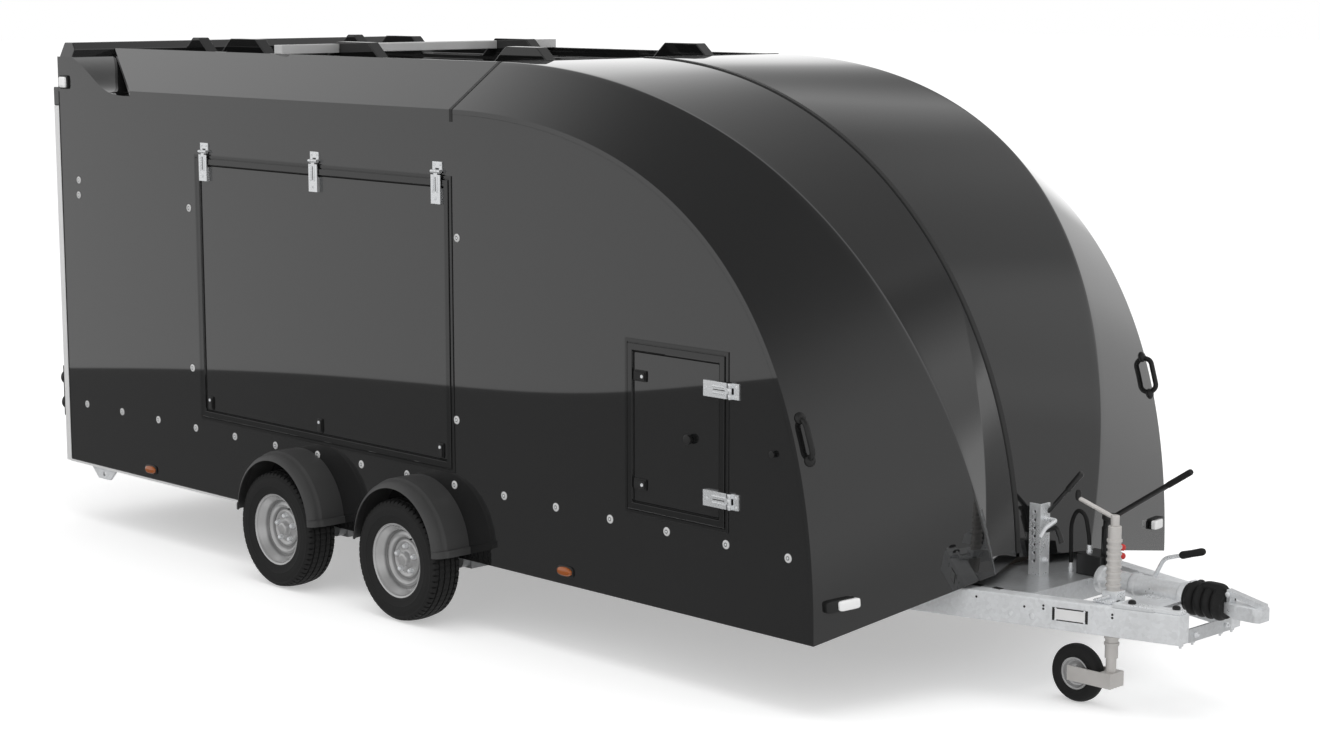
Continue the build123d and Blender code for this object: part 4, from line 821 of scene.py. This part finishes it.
lens_amber = lens_plastic("lens_amber", (0.44, 0.105, 0.008), 0.12)
lens_clear = lens_plastic("lens_clear", (0.97, 0.97, 0.97), 0.10, 0.93)
amber_spots = [(x, -half_width, 0.340) for x in (-1.633, 1.306)]
corner_spot = (-2.290, -half_width, 2.166)
nose_spot, nose_out, nose_down = nose_seat(0.9640, 0.150)
level = np.cross(nose_down, nose_out)
inwards = level * np.sign(level[1])
base_spot = nose_spot - 0.006 * nose_out - 0.012 * inwards
lens_spot = nose_spot + 0.012 * nose_out + 0.020 * inwards
bases = [shell for spot in amber_spots for shell in cushion(spot, to_right, forward, side_base)]
bases += cushion(corner_spot, to_right, forward, corner_base) + cushion(base_spot, nose_out, level, nose_base)
ambers = [shell for spot in amber_spots for shell in cushion(spot, to_right, forward, side_lens)]
clears = cushion(corner_spot, to_right, forward, corner_lens) + cushion(lens_spot, nose_out, level, nose_lens)
piece("side_markers", lens_amber, both_sides(ambers), ["side_marker_lamps"])
piece("clear_markers", lens_clear, both_sides(clears), ["clear_marker_lamps"])
piece("marker_bases", trim_plastic, both_sides(bases))


# Roof fittings: dark gloss rails with wedge-ended blocks, a dull alloy cross bar in three lengths, and a
# black cover strip bonded over the joint between the roof and the nose.
dress(frame_gloss, "roof_rails", edge=0.004)
dress(plain_alloy("dull_alloy", 0.56, 0.70), "roof_cross_bar", edge=0.003)
cover_half = 0.009
cover_under = mirrored([(0.8370, 2.3250), (half_width, 2.1400), (half_width, 2.0900)])
cover_over = mirrored([(0.8375, 2.3266), (half_width + 0.0016, 2.1408), (half_width + 0.0016, 2.0900)])
cover_yz = np.stack([cover_under, cover_over, cover_over, cover_under], 1)
cover_x = joint_x + cover_half * np.array((-1, -1, 1, 1))
cover = np.concatenate([np.broadcast_to(cover_x[:, None], cover_yz.shape[:2] + (1,)), cover_yz], -1)
piece("joint_cover", trim_plastic, capped(cover))


# Grab handles: bent black bar with a round foot at each end, one low on each side of the nose, and the rubber
# stop that the locker door's knob meets, as far ahead of the hinge pins as the knob is behind them.
def tube(path, radius, flat, count=14):
    """Round bar along a path: rings square to the run, set out from a direction that stays square to it."""
    path, flat = np.asarray(path, float), np.asarray(flat, float)
    run = np.gradient(path, axis=0)
    run /= np.linalg.norm(run, axis=1, keepdims=True)
    first = flat - (run @ flat)[:, None] * run
    first /= np.linalg.norm(first, axis=1, keepdims=True)
    second = np.cross(run, first)
    turn = np.linspace(0, 2 * pi, count, endpoint=False)[:, None]
    return capped(path[:, None] + radius * (np.cos(turn) * first[:, None] + np.sin(turn) * second[:, None]))


handle_seats = [nose_seat(t, 0.07) for t in (0.750, 0.802)]
top, top_out, top_down = handle_seats[0]
low, low_out = handle_seats[1][:2]
handle_rise = 0.034
handle_sink = 0.004
handle_lean = 0.14 * (low - top)
upper_bend = top + handle_lean + handle_rise * top_out
lower_bend = low - handle_lean + handle_rise * low_out
handle_path = [top - handle_sink * top_out, upper_bend, lower_bend, low - handle_sink * low_out]
handle = tube(soft(handle_path, 0.018, 7), 0.0105, np.cross(top_out, top_down))
foot_profile = soft([(-0.006, 0), (-0.006, 0.023), (0.005, 0.022), (0.014, 0.012), (0.014, 0)], 0.003)
handle += [turned(foot_profile, spot, out, 20) for spot, out, down in handle_seats]
stop_neck = [(0, 0), (0, 0.008), (0.007, 0.0078)]
stop_head = [(0.008, 0.013), (0.015, 0.013), (0.016, 0.010), (0.016, 0)]
locker_stop = (2 * locker_pin_x - locker_knob[0], locker_knob[1])
stop = on_panel(stop_neck + stop_head, 0.002, [locker_stop], 24)
piece("nose_handles", trim_plastic, both_sides(handle) + stop, ["grab_handles"])


# Drawbar: two zinc dipped beams under a mirror-like top plate, with black plugs in their holes, round studs,
# a blank white plate on a black backing on the right-hand beam, and bolts through the front end plate.
beam_front = (3.575, 0.200)
beam_top_z = 0.410
beam_turn = radians(15.5)
beam_out = np.array((sin(beam_turn), -cos(beam_turn), 0.0))
beam_run = np.array((-cos(beam_turn), -sin(beam_turn), 0.0))
upward = (0, 0, 1)
downward = (0, 0, -1)


def on_beam(x, z):
    """Point on the outer face of the right-hand beam."""
    return np.array((x, -beam_front[1] - (beam_front[0] - x) * tan(beam_turn), z))


plate_mid = on_beam(3.176, 0.359)


def plate_ring(half_length, half_height):
    """Corners of a plate on the outer face of the beam."""
    signs = np.array([(-1, -1), (1, -1), (1, 1), (-1, 1)])
    return plate_mid + half_length * signs[:, :1] * beam_run + half_height * signs[:, 1:] * np.array(upward)


dress(galvanised, "drawbar_beams", edge=0.006)
plate_zinc = zinc_skin("plate_zinc", 0.62, 0.86, 90.0, metal=0.80, roughness=0.20, lumps=0.00008)
dress(plate_zinc, "drawbar_plates", edge=0.002)
plug_outline = [(0, 0), (0, 0.0045), (0.0010, 0.0045), (0.0016, 0.003), (0.0016, 0)]
plug_spots = [(2.820, 0.385), (3.004, 0.371), (3.076, 0.384), (3.076, 0.372), (3.332, 0.383), (3.332, 0.371)]
plugs = lathe(plug_outline, 0.0004, [on_beam(*spot) for spot in plug_spots], beam_out, 14, 3)
for x, y in ((2.776, -0.341), (2.860, -0.332)):
    plugs += bar((x - 0.018, y - 0.012, beam_top_z - 0.001), (x + 0.018, y + 0.012, beam_top_z + 0.0015))
piece("beam_plugs", trim_plastic, both_sides(plugs))
stud_outline = [(0, 0), (0, 0.011), (0.002, 0.011), (0.004, 0.007), (0.004, 0)]
studs = lathe(stud_outline, 0.001, [on_beam(x, 0.339) for x in (2.953, 3.034)], beam_out, 18, 3)
piece("beam_studs", galvanised, both_sides(studs))
plate_white = moulded_plastic("plate_white", 0.80, 0.35, 300.0)
piece("plate_backing", trim_plastic, block(plate_ring(0.0690, 0.0245), 0.0010 * beam_out))
piece("blank_plate", plate_white, block(plate_ring(0.0585, 0.0200), 0.0020 * beam_out))
rivets = lathe(plug_outline, 0.0004, plate_ring(0.0558, 0.02046) + 0.0012 * beam_out, beam_out, 12, 3)
piece("plate_rivets", bright_zinc, rivets)
bolt_head = [(0, 0), (0, 0.011), (0.008, 0.011), (0.010, 0.008)]
bolt_end = [(0.010, 0.005), (0.018, 0.005), (0.018, 0)]


def bolts(spots, axis):
    """Hexagon bolts with the ends of their threads showing."""
    return lathe(bolt_head + bolt_end, 0.001, spots, axis, 6, 3)


end_bolts = bolts([(beam_front[0], y, 0.324) for y in (-0.10, 0.10)], forward)
end_bolts += bolts([(3.558, y, 0.299) for y in (-0.165, -0.090, 0.090, 0.165)], downward)
piece("end_plate_bolts", bright_zinc, end_bolts)


# Coupling: cast housing dipped in zinc, turned with three collars and bolted through its flange to the beams,
# under a bright bar with two capped nuts on each side. The head is a zinc casting with a cross pin.
cast_zinc = zinc_skin("cast_zinc", 0.70, 0.96, 120.0, metal=0.60, roughness=0.18, lumps=0.0003)
coupling_axis = (0, 0, 0.430)
rear_collar = [(3.072, 0.000), (3.072, 0.020), (3.090, 0.020), (3.090, 0.052), (3.114, 0.052), (3.118, 0.046)]
middle_collar = [(3.236, 0.046), (3.242, 0.049), (3.262, 0.049), (3.268, 0.046)]
front_collar = [(3.452, 0.046), (3.456, 0.052), (3.480, 0.052), (3.480, 0.000)]
flange_xy = [(3.330, -0.2679), (3.480, -0.2263), (3.480, 0.2263), (3.330, 0.2679)]
housing = lathe(rear_collar + middle_collar + front_collar, 0.002, [coupling_axis], forward, 48)
housing += block([(x, y, beam_top_z) for x, y in flange_xy], (0, 0, 0.012))
bar_corners = ((3.331, 0.004), (3.573, 0.004), (3.584, 0.044), (3.342, 0.044))
flange_bar = block([on_beam(x, beam_top_z) - inset * beam_out for x, inset in bar_corners], (0, 0, 0.016))
piece("flange_bars", bright_zinc, both_sides(flange_bar), edge=0.003)
piece("overrun_housing", cast_zinc, housing, ["coupling_housing"], edge=0.001)
cap_nut = [(0, 0), (0, 0.015), (0.009, 0.0145), (0.014, 0.009), (0.015, 0)]
cap_nuts = lathe(cap_nut, 0.003, [(3.385, -0.222, 0.425), (3.545, -0.178, 0.425)], upward, 20)
piece("flange_caps", trim_plastic, both_sides(cap_nuts))
dress(cast_zinc, "coupling_head", edge=0.003)
pin_end = [(0.018, 0.006), (0.018, 0.010), (0.023, 0.010), (0.023, 0)]
leftward = (0, 1, 0)
pin = lathe(mirrored(pin_end), 0.001, [(3.655, 0, 0.472)], leftward, 18, 3)
piece("grip_pin", bright_zinc, pin)


# Bellows: black rubber in four folds between the housing and the head, clamped at a plain cuff at each end,
# with a padded top where a hand rests.
bellows_rubber = rubber("bellows_rubber", 0.010, 0.5)
fold_share = np.linspace(0, 1, 65)[1:-1]
fold_x = 3.488 + 0.149 * fold_share
fold_r = 0.0505 + 0.0133 * np.abs(np.sin(4 * pi * fold_share)) ** 0.7
rear_cuff = [(3.480, 0.0), (3.480, 0.053), (3.488, 0.053)]
front_cuff = [(3.637, 0.053), (3.645, 0.053), (3.645, 0.0)]
bellows_profile = np.concatenate([rear_cuff, np.column_stack([fold_x, fold_r]), front_cuff])
hand_pad = (0.106, 0.056, 0.030, 0.6, 0.012)
bellows_shells = [turned(bellows_profile, coupling_axis, forward, 48)]
bellows_shells += cushion((3.585, 0, 0.472), upward, forward, hand_pad)
piece("bellows", bellows_rubber, bellows_shells, ["coupling_gaiter"], sharp=60.0)


# Handbrake: a bent zinc plated rod that rises from the flange beside the housing, with a black rubber grip
# pushed over its end.
brake_y = 0.0543
brake_xz = [(3.270, 0.422), (3.330, 0.540), (3.400, 0.562)]
brake_foot, brake_bend, grip_start = np.array([(x, brake_y, z) for x, z in brake_xz])
grip_way = (grip_start - brake_bend) / np.linalg.norm(grip_start - brake_bend)
brake_path = soft([brake_foot, brake_bend, grip_start, grip_start + 0.100 * grip_way], 0.025, 8)
piece("brake_lever", bright_zinc, tube(brake_path, 0.008, leftward), ["handbrake_lever"])
grip_back = [(0, 0), (0, 0.011), (0.010, 0.015), (0.050, 0.0135)]
grip_front = [(0.098, 0.0145), (0.110, 0.010), (0.110, 0)]
grip = lathe(grip_back + grip_front, 0.006, [grip_start], grip_way, 24)
piece("brake_grip", tyre_rubber, grip)


# Jockey wheel: pale grey ribbed outer tube in a bright clamp on the right-hand beam, crank with a black knob
# on top, stem and fork below, and a small solid tyre on a pressed rim.
jack_paint = silver_spray("jack_paint", 0.66, 0.34, blue=-0.035)
jack_x, jack_y = 3.272, -0.181
jack_axis = (jack_x, jack_y, 0)
tube_r = 0.0245
rib_r = 0.0285
rib_pitch = 0.024
rib_zs = np.concatenate([0.243 + rib_pitch * np.arange(2), 0.462 + rib_pitch * np.arange(8)])
rib_steps = rib_zs[:, None] + np.array((0.0, 0.0015, 0.0105, 0.012))
rib_radii = np.broadcast_to((tube_r, rib_r, rib_r, tube_r), rib_steps.shape)
jack_low = [(0.195, 0.0198), (0.195, tube_r)]
jack_top = [(0.688, tube_r), (0.690, 0.0225), (0.690, 0.0), (0.670, 0.0), (0.670, 0.0198)]
jack_profile = np.concatenate([jack_low, np.stack([rib_steps, rib_radii], -1).reshape(-1, 2), jack_top])
jack_tube = turned(jack_profile, jack_axis, upward, 40, True)
piece("jack_tube", jack_paint, [jack_tube], ["jockey_tube"], sharp=30.0)
clamp_low_x, clamp_high_x = jack_x - 0.0325, jack_x + 0.0325
clamp = bar((clamp_low_x, jack_y - 0.0265, beam_top_z), (clamp_high_x, jack_y + 0.0325, 0.450))
clamp += bar((clamp_low_x, jack_y - 0.0645, beam_top_z), (clamp_high_x, jack_y, 0.422))
piece("jack_clamp", bright_zinc, clamp, edge=0.003)
screw = tube([(jack_x, jack_y - out, 0.432) for out in (0.030, 0.075)], 0.006, upward)
screw.append(bead((jack_x - 0.035, jack_y - 0.072, 0.418), (jack_x + 0.035, jack_y - 0.072, 0.446), 0.005))
piece("clamp_screw", bright_zinc, screw)
crank_end = (jack_x - 0.165, jack_y, 0.770)
crank_hub = [(0.688, 0), (0.688, 0.016), (0.730, 0.016), (0.730, 0)]
crank = lathe(crank_hub, 0.003, [jack_axis], upward, 28)
crank += tube([(jack_x, jack_y, 0.718), crank_end], 0.0085, leftward)
piece("jack_crank", jack_paint, crank)
crank_knob = [(-0.010, 0), (-0.010, 0.009), (0.004, 0.012), (0.022, 0.011), (0.030, 0.007), (0.030, 0)]
piece("crank_knob", trim_plastic, lathe(crank_knob, 0.004, [crank_end], upward, 20))
dress(jack_paint, "jockey_fork", edge=0.002)
dress(jack_paint, "jockey_stem")
small_axle = (3.126, jack_y, 0.110)
tyre_side = [(0.012, 0.109), (0.027, 0.101), (0.031, 0.086), (0.0246, 0.068), (0.0246, 0.0625)]
small_tyre = soft(mirrored(tyre_side), 0.006, 4, True)
small_tyre[:, 1] += 0.001 * np.clip(1 - (small_tyre[:, 0] / 0.020) ** 2, 0, 1)
tyre = turned(small_tyre, small_axle, leftward, 56, True)
piece("small_tyre", tyre_rubber, [tyre], ["jockey_tyre"], "jockey_wheel", 40.0)
rim_side = [(0.0367, 0.0083), (0.0367, 0.0200), (0.0100, 0.0240)]
rim_side += [(0.0100, 0.0480), (0.0240, 0.0540), (0.0240, 0.0620)]
small_rim = soft(mirrored(rim_side), 0.003, 3, True)
rim = turned(small_rim, small_axle, leftward, 48, True)
piece("small_rim", wheel_silver, [rim], ["jockey_rim"], "jockey_wheel", 40.0)


# Tilt pump: black enamelled tank and barrel bolted to the plate between the beams, with a long lever, two red
# valve knobs and a grey filler cap, and a black hose from the tank down through the plate.
pump_x, pump_y = 3.035, 0.130
tank_top_z = 0.492
tank = bar((2.921, 0.070, beam_top_z), (pump_x, 0.190, tank_top_z))
barrel_low = [(beam_top_z, 0), (beam_top_z, 0.034), (0.600, 0.034), (0.604, 0.029)]
barrel_top = [(0.628, 0.029), (0.632, 0.034), (0.646, 0.034), (0.650, 0.030), (0.650, 0)]
barrel = lathe(barrel_low + barrel_top, 0.003, [(pump_x, pump_y, 0)], upward, 36)
lever_foot = np.array((pump_x, pump_y, 0.633))
lever_reach = np.array((0.353, 0, 0.233))
lever_tip = lever_foot + lever_reach
pump = tank + barrel + tube([lever_foot, lever_tip], 0.0105, leftward)
piece("pump_body", black_steel, pump, ["tilt_pump"], edge=0.003)
piece("pump_grip", tyre_rubber, [bead(lever_foot + 0.70 * lever_reach, lever_tip, 0.012, 20)])
valve_reds = [(0.55, 0.022, 0.020, 1), (0.72, 0.040, 0.032, 1)]
valve_red = moulded_plastic("valve_red", 0.02, 0.3, 600.0)
valve_red.drive(Base_Color=valve_red.mix(valve_red.noise(20.0), *valve_reds))
valve_stem = [(0.028, 0), (0.028, 0.006), (0.046, 0.006)]
valve_knob = [(0.048, 0.013), (0.062, 0.0125), (0.066, 0.009), (0.066, 0)]
valve_spots = [(pump_x, pump_y, z) for z in (0.530, 0.497)]
valves = lathe(valve_stem + valve_knob, 0.002, valve_spots, forward, 20)
piece("pump_valves", valve_red, valves)
filler = [(0, 0), (0, 0.020), (0.008, 0.020), (0.011, 0.016), (0.011, 0)]
piece("pump_filler", jack_paint, lathe(filler, 0.002, [(pump_x, 0.172, 0.450)], forward, 28))
hose_y = 0.094
hose_ends = [(2.881, beam_top_z), (2.965, tank_top_z)]
hose_bends = [(2.878, 0.600), (2.905, 0.657), (2.945, 0.640), (2.965, 0.545)]
hose_path = [(x, hose_y, z) for x, z in hose_ends[:1] + hose_bends + hose_ends[1:]]
hose = tube(soft(hose_path, 0.030, 10), 0.008, leftward, 18)
piece("hose_run", bellows_rubber, hose, ["pump_hose"])
fitting = [(0, 0), (0, 0.012), (0.014, 0.012), (0.014, 0.0095), (0.034, 0.0095), (0.034, 0)]
fittings = lathe(fitting, 0.001, [(x, hose_y, z) for x, z in hose_ends], upward, 6, 3)
piece("hose_fittings", bright_zinc, fittings)


# Prop post: drilled zinc plated angle welded to the plate, with a clamp bolt turned by a bent bright bar, a
# second bolt below it, a black release lever, and a black hand lever with a grip above.
dress(bright_zinc, "prop_post", edge=0.002)
post_face_x = 2.854
clamp_y, clamp_z = -0.040, 0.632
bar_x = 2.905
bar_bends = [(bar_x, clamp_y, clamp_z), (bar_x, -0.110, 0.610), (bar_x, -0.140, 0.580)]
bar_path = soft([(post_face_x, clamp_y, clamp_z)] + bar_bends, 0.012, 5)
post_clamp = tube(bar_path, 0.008, (0.3, 0.2, 0.9))
post_clamp += bolts([(post_face_x, clamp_y, z) for z in (clamp_z, 0.470)], forward)
piece("post_clamp", bright_zinc, post_clamp)
release_y = -0.028
release_path = [(post_face_x - 0.004, release_y, 0.585), (2.900, release_y, 0.600), (2.925, release_y, 0.545)]
hand_tip = (2.999, -0.012, 0.826)
levers = tube(soft(release_path, 0.010, 5), 0.011, leftward)
levers += tube([(post_face_x - 0.002, -0.020, 0.655), hand_tip], 0.008, leftward)
levers.append(bead((2.935, -0.0156, 0.750), hand_tip, 0.012))
piece("post_levers", black_steel, levers)


# Studio: a white floor that keeps the trailer's shadow, in a white room. Mirror-like surfaces see the room as
# it was lit: bright walls with four glows, a dim ceiling, dark flags, and a dark floor below a crisp line.
floor_reach = 90.0
floor_corners = [(-1, -1), (1, -1), (1, 1), (-1, 1)]
floor_mesh = bpy.data.meshes.new("studio_floor")
floor_mesh.from_pydata([(floor_reach * x, floor_reach * y, 0) for x, y in floor_corners], [], [(0, 1, 2, 3)])
floor = bpy.data.objects.new("studio_floor", floor_mesh)
bpy.context.scene.collection.objects.link(floor)
matt = {"Base_Color": grey(0.80), "Roughness": 0.95, "Specular_IOR_Level": 0.0, "Emission_Strength": 1.0}
floor_white = Finish("floor_white", **matt)
floor_mesh.materials.append(floor_white.material)
seen = floor_white.node("ShaderNodeLightPath", {}, {}, "Is Camera Ray")
glossy = floor_white.node("ShaderNodeLightPath", {}, {}, "Is Glossy Ray")
floor_white.drive(Emission_Color=floor_white.mix(seen, grey(0.0), grey(0.40)))
clear = floor_white.node("ShaderNodeBsdfTransparent", {}, {})
solid = Value(floor_white, floor_white.shader.outputs[0])
surface = floor_white.node("ShaderNodeMixShader", {}, {0: glossy, 1: solid, 2: clear})
floor_white.tree.links.new(surface.socket, floor_white.tree.nodes["Material Output"].inputs["Surface"])


class Room(Finish):
    """The world: the same node and arithmetic helpers on its own tree, with a direction for a place."""

    def __init__(self, tree):
        self.tree = tree
        self.place = self.node("ShaderNodeTexCoord", {}, {}, "Generated")


world = bpy.data.worlds.new("studio")
bpy.context.scene.world = world
world.use_nodes = True
room = Room(world.node_tree)
look_x, look_y, look_z = room.axes("XYZ")


def towards(azimuth, elevation):
    """Cosine of the angle between the looked-at direction and one given in degrees."""
    turn, rise = radians(azimuth), radians(elevation)
    return look_x * (cos(rise) * cos(turn)) + look_y * (cos(rise) * sin(turn)) + look_z * sin(rise)


def oval(azimuth, elevation, wide, tall):
    """1 in the middle of an oval patch of the room and 0 from its edge on, half sizes as sines of angles."""
    turn, rise = radians(azimuth), radians(elevation)
    ahead = look_x * cos(turn) + look_y * sin(turn)
    sideways = (look_y * cos(turn) - look_x * sin(turn)) * (1 / wide)
    upright = (look_z * cos(rise) - ahead * sin(rise)) * (1 / tall)
    return room.ramp(1 - sideways * sideways - upright * upright, 0, 1) * room.ramp(ahead, 0, 0.2)


wall_light = 0.69
ceiling_light = 0.16
near_floor_dark = 0.25
far_floor_dark = 0.76
room_level = 0.89
room_light = wall_light - (wall_light - ceiling_light) * room.ramp(look_z + 0.16 * look_x, 0.40, 0.97)
near_floor = room.ramp(0 - look_z, 0.0, 0.22) * room.ramp(look_x, -0.2, 0.3)
room_light = room_light * (1 - near_floor_dark * near_floor)
glows = [
    (0.25, (58, 46), 0.829, 0.985),
    (0.20, (32, 32), 0.94, 0.99),
    (0.50, (128, 0), 0.956, 0.9945),
    (0.12, (217, 0), 0.80, 0.97),
]
for glow, middle, edge, core in glows:
    room_light = room_light + glow * room.ramp(towards(*middle), edge, core)
flags = [
    (0.80, oval(104, 24, 0.62, 0.24)),
    (0.50, room.ramp(towards(84, 13), 0.979, 0.994)),
    (0.45, oval(57, 4, 0.26, 0.19)),
    (0.20, oval(87, -3, 0.26, 0.24)),
]
for depth, patch in flags:
    room_light = room_light * (1 - depth * patch)
beside = 0.678 * look_x - 0.735 * look_y
floor_line = 0.018 * beside * beside / (beside * beside + 0.012) - 0.1626
below_line = 1 - room.ramp(look_z - floor_line, -0.0004, 0.0004)
far_floor = below_line * room.ramp(towards(217, 0), 0.55, 0.75)
room_light = room_light * (1 - far_floor_dark * far_floor) * room_level
plain_light = 0.86
seen_light = 1.0
seen = room.node("ShaderNodeLightPath", {}, {}, "Is Camera Ray")
glossy = room.node("ShaderNodeLightPath", {}, {}, "Is Glossy Ray")
strength = plain_light + glossy * (room_light - plain_light) + seen * (seen_light - plain_light)
background = world.node_tree.nodes["Background"]
world.node_tree.links.new(strength.socket, background.inputs["Strength"])
background.inputs["Color"].default_value = (1, 1, 1, 1)
overhead_data = bpy.data.lights.new("overhead", "AREA")
overhead_data.shape = "RECTANGLE"
overhead_data.size = 9
overhead_data.size_y = 6
overhead_data.energy = 260
overhead = bpy.data.objects.new("overhead", overhead_data)
overhead.location = (1, -1, 8)
overhead.visible_glossy = False
bpy.context.scene.collection.objects.link(overhead)


# Camera: the photograph's own angle, distance and focal length, found from the wheels and the body's edges.
# The focal length is in pixels of the photograph's width.
view_azimuth = radians(45.4855)
view_elevation = radians(8.907)
focal_pixels = 2516.564
image_width = 1320
sensor_width = 36.0
level_out = Vector((sin(view_azimuth), -cos(view_azimuth), 0))
back = level_out * cos(view_elevation) + Vector((0, 0, sin(view_elevation)))
lens = bpy.data.cameras.new("camera")
lens.sensor_width = sensor_width
lens.lens = sensor_width * focal_pixels / image_width
lens.clip_end = 300
camera = bpy.data.objects.new("camera", lens)
camera.location = (8.5155 + axle_mid_x, -7.6648, 2.6628)
camera.rotation_euler = (-back).to_track_quat("-Z", "Y").to_euler()
bpy.context.scene.collection.objects.link(camera)
bpy.context.scene.camera = camera
bpy.context.scene.view_settings.view_transform = "Standard"
bpy.context.view_layer.update()
